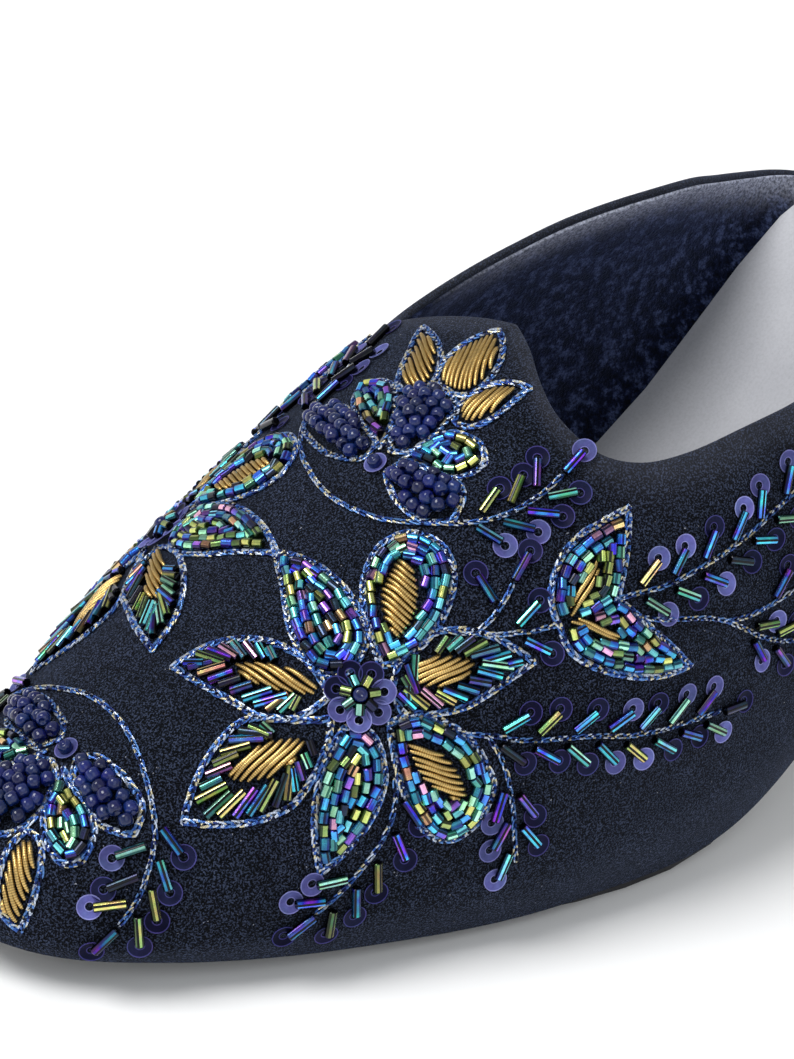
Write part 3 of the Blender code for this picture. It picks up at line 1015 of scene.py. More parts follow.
class Plane:
    """The tangent plane at the middle of a motif, to lay out its filling in flat millimetres."""

    def __init__(self, line, start, end):
        self.origin = skin(*line.T).mean(0)
        self.normal = unit(skin_normal(*line.T).mean(0))
        ahead = skin(*end) - skin(*start)
        self.ahead = unit(ahead - (ahead @ self.normal) * self.normal)
        self.across = np.cross(self.normal, self.ahead)
        self.guess = line.mean(0)

    def flat(self, line):
        offset = skin(*line.T) - self.origin
        return np.stack([offset @ self.ahead, offset @ self.across], -1)

    def lift(self, flat):
        """Station and drop of the surface points straight below or above points of the plane."""
        station = np.full(len(flat), self.guess[0])
        drop = np.full(len(flat), self.guess[1])
        for _ in range(LIFT_ROUNDS):
            offset = skin(station, drop) - self.origin
            miss_a = flat[:, 0] - offset @ self.ahead
            miss_b = flat[:, 1] - offset @ self.across
            along, down = skin_slopes(station, drop)
            a, b = along @ self.ahead, down @ self.ahead
            c, d = along @ self.across, down @ self.across
            area = a * d - b * c
            station = np.clip(station + (d * miss_a - b * miss_b) / area, SKIN_START, SKIN_END)
            drop = drop + (a * miss_b - c * miss_a) / area
        return station, drop

    def heading(self, angles):
        return np.cos(angles)[:, None] * self.ahead + np.sin(angles)[:, None] * self.across


def inside(polygon, points):
    """True for the points inside a polygon."""
    x, y = points[:, 0, None], points[:, 1, None]
    ax, ay = polygon[:, 0], polygon[:, 1]
    bx, by = np.roll(ax, -1), np.roll(ay, -1)
    crosses = (ay > y) != (by > y)
    return ((x < (bx - ax) * (y - ay) / np.where(by == ay, 1e-9, by - ay) + ax) & crosses).sum(1) % 2 == 1


def distance(line, points):
    """How far points are from a line, which is drawn finely."""
    return np.sqrt(((points[:, None, :] - line[None, :, :]) ** 2).sum(-1).min(1))


# ---------------------------------------------------------------- fillings of the motifs

OUTLINE_BREADTH = 1.3
CORD_CLEAR = 1.05
CORE_STEPS = 60
CORE_FULLNESS = 0.75
CORE_STAGGER = (0.8, 0.9)

# How each kind fills a motif, and how it is scattered: in millimetres, with heading, roll and tilt in radians
BEAD_ROWS = 5
BEAD_ROW_GAP = 1.28
BEAD_GAP = 1.6
BEAD_GOLD_CLEAR = 0.5
BEAD_LIFTS = (-0.05, 0.2)
BEAD_STRETCH = (0.9, 1.08)
BEAD_STRAY = 0.07
BEAD_SWAY = 0.12
BEAD_ROLL = 0.3
BEAD_TILT = 0.1
LINE_SLACK = 0.1
GAP_STEP = 0.25
GAP_ROOM = 1.06

BERRY_CLEAR = 0.7
BERRY_ROW_GAP = 0.86
BERRY_GAP = 1.06
BERRY_SINK = 0.15
BERRY_DOME = 0.9
BERRY_DOME_REACH = 3.0
BERRY_HEAP_CLEAR = 1.6
BERRY_SHADES = (0.5, 1.5)
BERRY_HEAP = 0.55
BERRY_STRAY = 0.22
BERRY_SWAY = 0.45
BERRY_TILT = 0.25

BUGLE_CLEAR = 0.75
BUGLE_MIDDLE_CLEAR = 1.0
BUGLE_MIDDLE_SHARE = 0.8
BUGLE_GOLD_CLEAR = 0.2
BUGLE_FIRST = 1.8
BUGLE_LAST = 0.8
BUGLE_GAP = 1.82
BUGLE_LEAN = math.radians(46.0)
BUGLE_CUTS = (1.12, 1.0, 0.88, 0.76, 0.64, 0.52)
BUGLE_START = 0.25
BUGLE_RISE = 0.12
BUGLE_SWAY = 0.05
BUGLE_TILT = (0.02, 0.03)
BUGLE_ROLL = 0.3

STRAND_GAP = 0.7
STRAND_STEP = 0.1
STRAND_SHORTEST = 1.6
STRAND_TRIM = 0.3
STRAND_SHADES = (0.8, 1.1)
STRAND_POINT = 0.14
STRAND_SIDES = 6
STRAND_SWAY = 0.012
STRAND_LIFT = 0.35
STRAND_ARCH = 0.55
STRAND_VALLEY = 0.84
LEAF_STRAND_CLEAR = 0.75


class Motif:
    """A petal or leaf: two charted sides that run from its base to its tip, laid out flat."""

    def __init__(self, zone, left, right):
        self.zone = zone
        sides = [fine_line(zone, side) for side in (left, right)]
        self.plane = Plane(np.concatenate(sides), sides[0][0], sides[0][-1])
        self.sides = [self.plane.flat(side) for side in sides]
        self.outline = np.concatenate([self.sides[0], self.sides[1][::-1]])

    def edge_distance(self, points):
        return np.where(inside(self.outline, points), distance(self.outline, points), -1.0)

    def inward(self, side):
        """Unit vectors across a side, into the motif."""
        ahead = unit(np.gradient(side, axis=0))
        across = np.stack([-ahead[:, 1], ahead[:, 0]], -1)
        middle = len(side) // 2
        probe = side[middle:middle + 1] + 0.3 * across[middle:middle + 1]
        return across if inside(self.outline, probe)[0] else -across

    def lay(self, kind, flat, angles, lift, colours, **turns):
        station, drop = self.plane.lift(flat)
        self.zone.lay(kind, station, drop, self.plane.heading(angles), lift, colours, **turns)


def runs(keep):
    """First and last index of each unbroken run of true values."""
    edges = np.flatnonzero(np.diff(np.concatenate([[0], keep.astype(int), [0]])))
    return list(zip(edges[::2], edges[1::2] - 1))


def core_frame(motif, core):
    """The two ends of a spindle in the motif's plane, and the unit vectors ahead and across."""
    start, end = motif.plane.flat(motif.zone.chart(core[:2]))
    ahead = unit(end - start)
    return start, end, ahead, np.array([-ahead[1], ahead[0]])


def core_shape(motif, core):
    """A spindle of gold in the middle of a petal, as a fine outline in the motif's plane."""
    if core is None:
        return None
    start, end, ahead, across = core_frame(motif, core)
    share = np.linspace(0.0, 1.0, CORE_STEPS)[:, None]
    middle = start + share * np.linalg.norm(end - start) * ahead
    width = core[2] * np.sin(math.pi * share) ** CORE_FULLNESS * across
    return np.concatenate([middle + width, (middle - width)[::-1]])


def bead_row(line):
    """Places and angles of cut beads side by side along a line."""
    along = lengths(line)
    count = int((along[-1] + 0.5) / BEAD_GAP)
    if not count:
        return np.zeros((0, 2)), np.zeros(0)
    at = (np.arange(count) + 0.5) * along[-1] / count
    ahead = np.gradient(line, axis=0)
    angles = np.interp(at, along, np.unwrap(np.arctan2(ahead[:, 1], ahead[:, 0])))
    return read_along(at, along, line), angles


def fill_gaps(motif, places, angles, clear):
    """More cut beads wherever the rows of a petal left room for one."""
    low, high = motif.outline.min(0), motif.outline.max(0)
    x, y = (np.arange(low[k], high[k], GAP_STEP) for k in (0, 1))
    grid = np.stack(np.meshgrid(x, y), -1).reshape(-1, 2)
    grid = grid[(motif.edge_distance(grid) > CORD_CLEAR - LINE_SLACK) & clear(grid)]
    rims = np.concatenate(motif.sides)
    ahead = np.concatenate([np.gradient(side, axis=0) for side in motif.sides])
    for place in grid:
        if len(places) and np.hypot(*(places - place).T).min() < GAP_ROOM:
            continue
        nearest = ahead[np.hypot(*(rims - place).T).argmin()]
        places = np.concatenate([places, place[None]])
        angles = np.append(angles, math.atan2(nearest[1], nearest[0]))
    return places, angles


def fill_with_beads(motif, core):
    """Rows of cut beads that follow both sides of a petal, inwards to its middle or its gold."""
    gold = core_shape(motif, core)

    def clear(points):
        return True if gold is None else ~inside(gold, points) & (distance(gold, points) > BEAD_GOLD_CLEAR)

    rows = []
    for order, own in enumerate(motif.sides):
        other = motif.sides[1 - order]
        inward = motif.inward(own)
        for row in range(BEAD_ROWS):
            inset = CORD_CLEAR + row * BEAD_ROW_GAP
            line = own + inset * inward
            keep = inside(motif.outline, line) & (distance(own, line) > inset - 0.08) & clear(line)
            keep &= distance(other, line) > inset + (BEAD_ROW_GAP if order else 0.0) - LINE_SLACK
            rows += [bead_row(line[first:last + 1]) for first, last in runs(keep)]
    places = np.concatenate([row[0] for row in rows])
    angles = np.concatenate([row[1] for row in rows])
    places, angles = fill_gaps(motif, places, angles, clear)
    count = len(places)
    motif.lay(
        "cut_beads", places + RANDOM.uniform(-BEAD_STRAY, BEAD_STRAY, places.shape),
        angles + RANDOM.normal(0.0, BEAD_SWAY, count),
        CUT_BEAD_WIDTH / 2.0 + RANDOM.uniform(*BEAD_LIFTS, count), glass_colours(count, 0.5),
        length=RANDOM.uniform(*BEAD_STRETCH, count), roll=RANDOM.normal(0.0, BEAD_ROLL, count),
        tilt=RANDOM.normal(0.0, BEAD_TILT, count),
    )


def bugle_fits(motif, gold, own, other, point):
    """Whether a bugle may end at a point: on its own half of the leaf, and clear of the gold."""
    probe = point[None]
    mine, theirs = distance(own, probe)[0], distance(other, probe)[0]
    if not inside(motif.outline, probe)[0] or theirs <= max(BUGLE_MIDDLE_CLEAR, mine * BUGLE_MIDDLE_SHARE):
        return False
    return gold is None or (not inside(gold, probe)[0] and distance(gold, probe)[0] > BUGLE_GOLD_CLEAR)


def fill_with_bugles(motif, core):
    """Bugles that slant from each side of a leaf back towards the gold along its middle."""
    gold = core_shape(motif, core)
    for order, own in enumerate(motif.sides):
        other = motif.sides[1 - order]
        along = lengths(own)
        table = np.concatenate([own, unit(np.gradient(own, axis=0)), motif.inward(own)], axis=1)
        for at in np.arange(BUGLE_FIRST, along[-1] - BUGLE_LAST, BUGLE_GAP):
            place, tangent, across = read_along(at, along, table).reshape(3, 2)
            heading = across * math.sin(BUGLE_LEAN) - tangent * math.cos(BUGLE_LEAN)
            outer = place + BUGLE_CLEAR * across + BUGLE_START * heading
            inner = [outer + heading * BUGLE_LENGTH * cut for cut in BUGLE_CUTS]
            fitting = [k for k, point in enumerate(inner) if bugle_fits(motif, gold, own, other, point)]
            if not fitting:
                continue
            middle = ((outer + inner[fitting[0]]) / 2.0)[None]
            angle = math.atan2(heading[1], heading[0]) + RANDOM.normal(0.0, BUGLE_SWAY)
            motif.lay(
                "bugles", middle, np.array([angle]), BUGLE_WIDTH / 2.0 + RANDOM.uniform(0.0, BUGLE_RISE),
                glass_colours(1), length=BUGLE_CUTS[fitting[0]], roll=RANDOM.normal(0.0, BUGLE_ROLL),
                tilt=RANDOM.normal(*BUGLE_TILT),
            )


def lay_strand(motif, start, end):
    """A strand of purl from edge to edge, arched over its padding and a little wavy."""
    length = np.linalg.norm(end - start)
    share = np.linspace(0.0, 1.0, max(int(length / STRAND_POINT), 8))
    across = unit(np.array([start[1] - end[1], end[0] - start[0]]))
    bend = RANDOM.normal(0.0, STRAND_SWAY)
    sway = STRAND_SWAY * np.sin(2 * math.pi * share) + bend * np.sin(math.pi * share)
    flat = start + share[:, None] * (end - start) + (length * sway)[:, None] * across
    station, drop = motif.plane.lift(flat)
    normal = skin_normal(station, drop)
    arch = np.sin(math.pi * share)
    line = skin(station, drop) + normal * (STRAND_LIFT + STRAND_ARCH * arch**0.7)[:, None]
    crest = np.arange(len(share)) % 2 > 0
    thick = PURL_WIDTH / 2.0 * (0.5 + 0.5 * arch**0.35) * np.where(crest, 1.0, STRAND_VALLEY)
    points, quads = tube(line, normal, thick, STRAND_SIDES)
    # Painted shade in the grooves between the coils, and a random shade for each strand
    shade = np.repeat(np.where(crest, 1.0, GROOVE_SHADE), STRAND_SIDES) * RANDOM.uniform(*STRAND_SHADES)
    motif.zone.piles["purl"].add(points, quads, shade[quads][..., None] * np.array(GOLD))


def fill_with_purl(motif, allowed, angle):
    """Strands of purl side by side across the part of a motif where points are allowed."""
    ahead = np.array([math.cos(angle), math.sin(angle)])
    across = np.array([-ahead[1], ahead[0]])
    offsets = motif.outline @ across
    reach = motif.outline @ ahead
    steps = np.arange(reach.min(), reach.max(), STRAND_STEP)
    for offset in np.arange(offsets.min() + STRAND_TRIM, offsets.max(), STRAND_GAP):
        line = steps[:, None] * ahead + offset * across
        for first, last in runs(allowed(line)):
            if (last - first) * STRAND_STEP > STRAND_SHORTEST:
                trim = RANDOM.uniform(0.0, STRAND_TRIM, 2)
                lay_strand(motif, line[first] + trim[0] * ahead, line[last] - trim[1] * ahead)


def fill_core(motif, core):
    """Slanting strands within the spindle, or two long ones side by side where it has no slant."""
    start, end, ahead, across = core_frame(motif, core)
    angle = core[3]
    if angle is None:
        aside = across * STRAND_GAP / 2.0
        lay_strand(motif, start + aside + CORE_STAGGER[0] * ahead, end + aside)
        lay_strand(motif, start - aside, end - aside - CORE_STAGGER[1] * ahead)
        return
    gold = core_shape(motif, core)
    slant = math.atan2(ahead[1], ahead[0]) + math.radians(angle) * (-1.0 if motif.zone.mirrored else 1.0)
    fill_with_purl(motif, lambda line: inside(gold, line), slant)


def fill_leaf_with_purl(motif, angle):
    """Strands all over a leaf, at an angle in degrees from the line between its ends."""
    fill_with_purl(motif, lambda line: motif.edge_distance(line) > LEAF_STRAND_CLEAR, math.radians(angle))


def fill_with_berries(motif):
    """A domed heap of seed beads in staggered rows."""
    low, high = motif.outline.min(0), motif.outline.max(0)
    flat = []
    for row, y in enumerate(np.arange(low[1] + 1.1, high[1], SEED_BEAD_WIDTH * BERRY_ROW_GAP)):
        first = low[0] + 0.6 + (row % 2) * SEED_BEAD_LENGTH * 0.5
        x = np.arange(first, high[0], SEED_BEAD_LENGTH * BERRY_GAP)
        flat.append(np.stack([x, np.full(len(x), y)], -1))
    flat = np.concatenate(flat)
    room = motif.edge_distance(flat)
    flat, room = flat[room > BERRY_CLEAR], room[room > BERRY_CLEAR]
    count = len(flat)
    colours = np.array(NAVY) * RANDOM.uniform(*BERRY_SHADES, (count, 1, 1))
    heaped = RANDOM.uniform(0.0, BERRY_HEAP, count) * (room > BERRY_HEAP_CLEAR)
    domed = BERRY_DOME * np.clip(room / BERRY_DOME_REACH, 0.0, 1.0) ** 0.8
    motif.lay(
        "seed_beads", flat + RANDOM.uniform(-BERRY_STRAY, BERRY_STRAY, flat.shape),
        RANDOM.normal(0.0, BERRY_SWAY, count), SEED_BEAD_WIDTH / 2.0 - BERRY_SINK + domed + heaped, colours,
        tilt=RANDOM.normal(0.0, BERRY_TILT, count),
    )


# ---------------------------------------------------------------- the pattern

# Every place in the pattern is a station and a drop on the inner side of the shoe.  A petal is its
# filling, its base, its tip and the rest of its two sides.  In the flower and the pair of leaves there
# follows its gold spindle: the two ends, the half width and the slant of its strands in degrees.
FLOWER = [
    ("beads", (49.8, -24.3), (56.2, -12.2),
     [(50.1, -20.5), (51.0, -17.0), (53.0, -13.8)],
     [(53.2, -26.2), (57.5, -26.0), (60.8, -23.8), (62.0, -20.3), (61.0, -16.0), (58.9, -13.2)],
     ((52.6, -23.6), (57.6, -15.6), 2.5, 52.0)),
    ("bugles", (50.2, -27.5), (67.2, -39.6),
     [(50.8, -31.8), (54.0, -34.6), (58.0, -37.2), (62.5, -38.6)],
     [(52.5, -25.6), (56.5, -26.3), (59.8, -28.8), (62.6, -32.0), (65.2, -36.0)],
     ((51.4, -27.6), (60.4, -33.8), 2.0, 14.0)),
    ("beads", (48.6, -31.0), (58.4, -53.1),
     [(48.3, -36.0), (49.0, -41.0), (50.3, -45.5), (52.6, -50.0), (55.5, -52.7)],
     [(51.5, -32.3), (55.0, -36.6), (57.6, -41.0), (59.4, -46.0), (60.2, -50.5)],
     ((50.0, -34.4), (56.8, -48.4), 2.1, 26.0)),
    ("beads", (43.5, -27.0), (37.8, -40.9),
     [(39.5, -29.3), (37.9, -32.5), (37.4, -36.5)],
     [(46.2, -30.0), (46.9, -33.5), (46.5, -37.0), (44.5, -39.6), (41.5, -40.8)],
     None),
    ("bugles", (42.5, -24.8), (23.7, -21.2),
     [(38.6, -28.9), (36.0, -29.8), (32.0, -28.4), (28.0, -25.5)],
     [(38.5, -21.4), (36.0, -18.5), (33.5, -16.7), (29.5, -16.9), (26.0, -18.8)],
     ((29.6, -21.2), (39.0, -24.6), 2.1, 18.0)),
    ("bugles", (43.0, -22.4), (31.5, -3.3),
     [(38.8, -21.3), (35.6, -18.0), (33.8, -13.5), (32.3, -8.5)],
     [(43.0, -18.5), (41.6, -13.5), (39.4, -9.0), (35.8, -5.0)],
     ((42.5, -21.4), (36.0, -9.8), 1.6, -14.0)),
    ("beads", (46.0, -21.8), (47.9, -0.6),
     [(43.0, -18.5), (42.6, -15.0), (43.4, -11.0), (45.4, -6.5)],
     [(49.3, -20.8), (50.4, -16.0), (50.2, -10.5), (49.4, -5.5)],
     None),
]
FLOWER_CENTRE = (46.3, -25.3)

# The pair of leaves further up the side: their fillings, then the cord round both
LEAF_PAIR = [
    ((72.0, -38.5), (84.2, -33.1),
     [(71.3, -35.6), (72.1, -33.3), (74.1, -31.7), (77.1, -31.3), (80.5, -32.0)],
     [(76.0, -40.9), (79.6, -41.5), (81.8, -38.6), (83.2, -35.8)],
     ((73.0, -38.2), (78.6, -35.6), 0.62, None)),
    ((72.0, -38.5), (90.3, -59.0),
     [(72.4, -42.3), (74.7, -46.0), (78.1, -49.9), (82.0, -53.6), (86.0, -56.7)],
     [(76.5, -40.2), (79.9, -41.6), (82.1, -45.4), (84.6, -49.6), (87.6, -54.3)],
     ((73.2, -39.0), (79.9, -47.0), 0.62, None)),
]
LEAF_PAIR_CORDS = [
    [(71.5, -38.4), (71.1, -35.7), (72.0, -33.1), (74.0, -31.5), (77.1, -31.0), (80.5, -31.8),
     (84.4, -33.0)],
    [(84.4, -33.0), (83.3, -35.9), (81.7, -38.9), (79.8, -41.6)],
    [(79.8, -41.6), (82.1, -45.2), (84.6, -49.5), (87.6, -54.3), (90.4, -59.1)],
    [(90.4, -59.1), (86.0, -56.8), (82.0, -53.8), (78.0, -50.0), (74.5, -46.0), (72.2, -42.2),
     (71.5, -38.4)],
]

# The spray in the middle of the throat.  Its petals end with the slant of their strands of gold.
THROAT_CENTRE = (62.7, -2.0)
THROAT_SPRAY = [
    ("berries", (62.6, -4.4), (64.4, -17.0),
     [(61.3, -7.5), (61.0, -11.0), (62.0, -14.6)],
     [(64.7, -5.2), (66.0, -8.5), (67.2, -12.0), (67.0, -15.6)],
     0.0),
    ("berries", (62.6, 0.4), (65.8, 17.8),
     [(61.2, 3.8), (61.0, 7.8), (61.9, 12.0), (63.4, 15.8)],
     [(64.6, 1.0), (65.8, 4.4), (66.8, 9.0), (67.4, 13.8)],
     0.0),
    ("berries", (64.9, -2.3), (74.9, -0.7),
     [(67.0, -4.8), (70.6, -5.4), (73.8, -4.0)],
     [(66.2, -0.4), (68.6, 1.8), (71.4, 3.7), (73.7, 2.6)],
     0.0),
    ("beads", (64.8, -4.9), (71.3, -14.3),
     [(65.8, -8.0), (66.5, -11.4), (68.8, -13.8)],
     [(68.0, -5.4), (70.6, -6.8), (71.9, -9.6), (72.2, -12.4)],
     0.0),
    ("beads", (64.6, -0.2), (71.2, 13.0),
     [(65.4, 3.0), (66.2, 6.2), (67.4, 9.4), (69.2, 12.0)],
     [(67.4, 1.4), (70.3, 4.2), (72.1, 7.2), (72.4, 10.2)],
     0.0),
    ("purl", (72.2, -6.2), (81.2, -10.5),
     [(73.0, -8.8), (75.5, -10.1), (78.2, -10.3)],
     [(74.2, -4.7), (77.0, -5.0), (79.4, -6.6), (80.6, -8.6)],
     28.0),
    ("purl", (74.6, -1.4), (84.9, 1.0),
     [(76.2, -4.5), (79.2, -4.7), (82.2, -3.2)],
     [(75.2, 1.6), (77.4, 3.6), (80.4, 4.0), (83.2, 2.8)],
     20.0),
    ("purl", (72.4, 3.9), (82.1, 14.2),
     [(74.4, 2.2), (77.2, 3.8), (79.7, 7.2), (81.2, 11.0)],
     [(72.6, 6.8), (74.8, 9.2), (77.6, 11.2), (80.2, 13.2)],
     20.0),
]

# The same spray on the toe, turned to point forwards.  Its petals on one side stand for both sides.
TOE_CENTRE = (17.5, -1.8)
TOE_SPRAY = [
    ("berries", (17.6, -4.2), (18.3, -17.9),
     [(15.7, -6.5), (15.2, -11.0), (16.2, -15.4)],
     [(19.0, -5.4), (20.0, -9.0), (20.5, -13.0), (20.2, -16.4)],
     0.0),
    ("berries", (15.4, -1.8), (5.0, -1.8),
     [(13.4, -5.4), (10.2, -7.2), (6.8, -6.6)],
     [(13.4, 1.8), (10.2, 3.6), (6.8, 3.0)],
     0.0),
    ("beads", (15.6, -4.2), (12.2, -16.0),
     [(13.0, -5.6), (10.6, -8.2), (9.6, -11.8), (10.4, -14.8)],
     [(15.2, -8.0), (15.4, -11.6), (14.4, -14.6)],
     0.0),
    ("purl", (8.3, -8.0), (4.8, -17.8),
     [(9.0, -10.2), (7.8, -13.2), (6.2, -15.6)],
     [(6.0, -8.0), (3.9, -9.6), (3.2, -12.2), (3.8, -15.2)],
     20.0),
]

# A vine with sprigs is the places it passes, then for its left and right side how far the last bugle
# stands from the vine's end, the distance between bugles, how many there are and how far they lean out,
# then whether one ends it, and what share of the sequins on the left and right catches the light
VINES = [
    ([(58.4, -27.8), (61.0, -30.4), (64.0, -33.2), (67.5, -35.8), (71.4, -38.2)],
     (5.6, 4.0, 1, 39), (5.0, 4.0, 1, 26), False, 0.0, 0.2),
    ([(60.8, -30.3), (63.0, -30.7), (65.4, -30.3), (67.2, -29.4)],
     (3.2, 4.0, 1, 62), (0.0, 4.0, 0, 0), True, 0.0, 0.0),
    ([(79.8, -41.6), (83.0, -43.2), (86.0, -45.0), (90.0, -46.7), (94.0, -48.0), (98.0, -49.0),
      (103.0, -49.4), (108.0, -48.9), (113.0, -48.0), (118.0, -47.0), (122.5, -46.2)],
     (3.8, 5.4, 8, 40), (3.6, 4.7, 9, 36), True, 0.3, 0.4),
    ([(80.6, -43.2), (84.0, -47.4), (87.0, -50.0), (90.0, -52.3), (94.0, -55.3), (97.5, -58.3),
      (101.0, -60.3), (105.0, -61.5), (110.0, -62.2), (115.0, -62.4), (120.0, -62.4), (124.0, -62.2)],
     (3.4, 4.9, 4, 40), (3.0, 4.9, 3, 34), True, 0.6, 0.4),
    ([(97.0, -57.9), (100.0, -61.1), (103.0, -64.3), (106.0, -67.0), (110.0, -69.6), (114.5, -71.6),
      (119.0, -73.0)],
     (3.4, 4.8, 4, 32), (2.8, 4.8, 4, 26), True, 0.7, 0.5),
    ([(54.0, -36.0), (57.0, -39.8), (60.5, -43.4), (65.0, -48.0), (70.0, -52.2), (75.0, -56.2),
      (80.0, -60.4), (85.0, -64.0), (90.0, -67.1), (94.0, -69.5), (96.6, -70.9)],
     (4.7, 5.2, 7, 40), (2.9, 4.7, 8, 32), True, 0.1, 0.45),
    ([(60.2, -43.6), (61.8, -48.5), (62.6, -53.0), (63.1, -57.0), (63.5, -61.0), (64.0, -64.5)],
     (5.4, 4.6, 2, 31), (2.0, 4.6, 3, 32), False, 0.0, 0.6),
    ([(47.8, -37.6), (47.2, -41.5), (45.5, -43.8), (43.0, -45.2), (40.5, -46.0), (37.5, -46.3)],
     (1.6, 4.1, 5, 46), (1.7, 4.1, 2, 42), True, 0.1, 1.0),
]
# The vines that cross the ridge round each spray, with the same sprig at both ends
CRESCENTS = [
    ([(78.0, 21.6), (74.0, 21.2), (70.0, 20.2), (66.0, 18.2), (62.6, 15.2), (60.0, 11.4), (58.2, 7.0),
      (57.1, 3.0), (56.7, -0.6), (57.0, -4.6), (58.2, -9.0), (60.3, -12.6), (63.0, -16.0), (66.5, -19.5),
      (70.5, -22.0), (74.0, -23.0), (78.0, -23.2)],
     (3.7, 4.3, 3, 44), (3.5, 3.2, 4, 36), True, 0.2, 0.5),
    ([(14.5, 22.7), (16.3, 21.6), (18.5, 19.2), (20.2, 16.7), (21.3, 13.4), (22.5, 8.4), (23.5, 3.4),
      (23.8, -1.8), (23.4, -7.0), (22.5, -12.0), (21.3, -17.0), (20.2, -20.3), (18.5, -22.8), (16.3, -25.2),
      (14.5, -26.3)],
     (2.3, 3.5, 4, 28), (2.9, 3.8, 3, 54), True, 0.3, 0.5),
]

# Where a sprig's bugle and its sequin stand from the vine, how much they vary and how high they lie
FOOT_OFFSET = 0.95
HEAD_OFFSET = 0.5
END_OFFSET = 0.6
SPRIG_LEAN = 0.08
SPRIG_STRETCH = (0.94, 1.06)
SPRIG_BUGLE_LIFT = 0.16
SPRIG_BUGLE_TILT = 0.05
SPRIG_SEQUIN_LIFT = 0.12
SPRIG_SEQUIN_TILT = (0.06, 0.05)
SPRIG_SEQUIN_ROLL = 0.06

# The rings of sequins and cut beads in the middle of the flower: how many of each, where the first stands,
# and for each kind how far out, how high and how tilted it lies
CENTRE_PARTS = 7
CENTRE_TURN = 0.3
CENTRE_SEQUINS = (3.1, 0.75, 0.16)
CENTRE_BEADS = (1.75, 1.35, -0.2)
CENTRE_BOSS_LIFT = 1.7
SPRAY_SEQUIN_LIFT = 0.35
SPRAY_BOSS_LIFT = 0.9


def across_toe(points):
    """Charted points carried over to the other side of the toe's spray."""
    return [(station, 2.0 * TOE_CENTRE[1] - drop) for station, drop in points]


def both_sides(petals):
    """The petals of the toe's spray, each followed by its mirror image but for the one in the middle."""
    for kind, base, tip, left, right, slant in petals:
        yield kind, base, tip, left, right, slant
        if base[1] != TOE_CENTRE[1]:
            yield kind, *across_toe([base, tip]), across_toe(left), across_toe(right), -slant


def lay_petal(zone, kind, base, tip, left, right, slant=0.0, core=None, corded=True):
    """A petal or leaf with its filling, its spindle if it has one, and the cord round it."""
    left, right = ([base, *side, tip] for side in (left, right))
    motif = Motif(zone, left, right)
    if kind == "beads":
        fill_with_beads(motif, core)
    elif kind == "bugles":
        fill_with_bugles(motif, core)
    elif kind == "berries":
        fill_with_berries(motif)
    else:
        fill_leaf_with_purl(motif, slant)
    if core is not None:
        fill_core(motif, core)
    if corded:
        lay_cord(zone, left, OUTLINE_BREADTH)
        lay_cord(zone, right, OUTLINE_BREADTH)


def sequin_colours(count, lit_share):
    """Sequins that catch the light or lie dark, each to its own degree."""
    lit = RANDOM.random(count) < lit_share
    degree = np.where(lit, RANDOM.uniform(*LIT_DEGREES, count), RANDOM.uniform(*DIM_DEGREES, count))
    degree = degree[:, None, None]
    return degree * np.array(SEQUIN_LIT) + (1.0 - degree) * np.array(SEQUIN_DIM)


def lay_sprig(zone, charted, left, right, ended, lit_left, lit_right, swapped=False):
    """Bugles on both sides of a vine, each with a sequin at its head."""
    line = fine_line(zone, charted)
    points = skin(*line.T)
    along = lengths(points)
    ahead = unit(np.gradient(points, axis=0))
    normal = skin_normal(*line.T)
    flip = -1.0 if zone.mirrored != swapped else 1.0
    rows = [(along[-1], 0.0, 0.0, lit_left)] if ended else []
    for side, (first, gap, count, lean), lit in ((1.0, left, lit_left), (-1.0, right, lit_right)):
        rows += [(along[-1] - first - gap * k, side * flip, math.radians(lean), lit) for k in range(count)]
    table = np.concatenate([points, ahead, normal, line], axis=1)
    for at, side, lean, lit in rows:
        place, tangent, upward, guess = np.split(read_along(at, along, table), [3, 6, 9])
        outward = np.cross(upward, tangent)
        lean = lean * side + RANDOM.normal(0.0, SPRIG_LEAN)
        heading = tangent * math.cos(lean) + outward * math.sin(lean)
        foot = place + outward * side * FOOT_OFFSET + tangent * (END_OFFSET if side == 0.0 else 0.0)
        length = RANDOM.uniform(*SPRIG_STRETCH)
        middle = foot + heading * BUGLE_LENGTH * length / 2.0
        head = foot + heading * (BUGLE_LENGTH * length + HEAD_OFFSET)
        station, drop = on_skin(np.stack([middle, head]), np.full(2, guess[0]), np.full(2, guess[1]))
        zone.lay_one(
            "bugles", station[0], drop[0], heading, BUGLE_WIDTH / 2.0 + SPRIG_BUGLE_LIFT, glass_colours(1),
            length=length, roll=RANDOM.normal(0.0, BUGLE_ROLL), tilt=SPRIG_BUGLE_TILT,
        )
        zone.lay_one(
            "sequins", station[1], drop[1], heading, SPRIG_SEQUIN_LIFT, sequin_colours(1, lit),
            tilt=RANDOM.normal(*SPRIG_SEQUIN_TILT), roll=RANDOM.normal(0.0, SPRIG_SEQUIN_ROLL),
        )


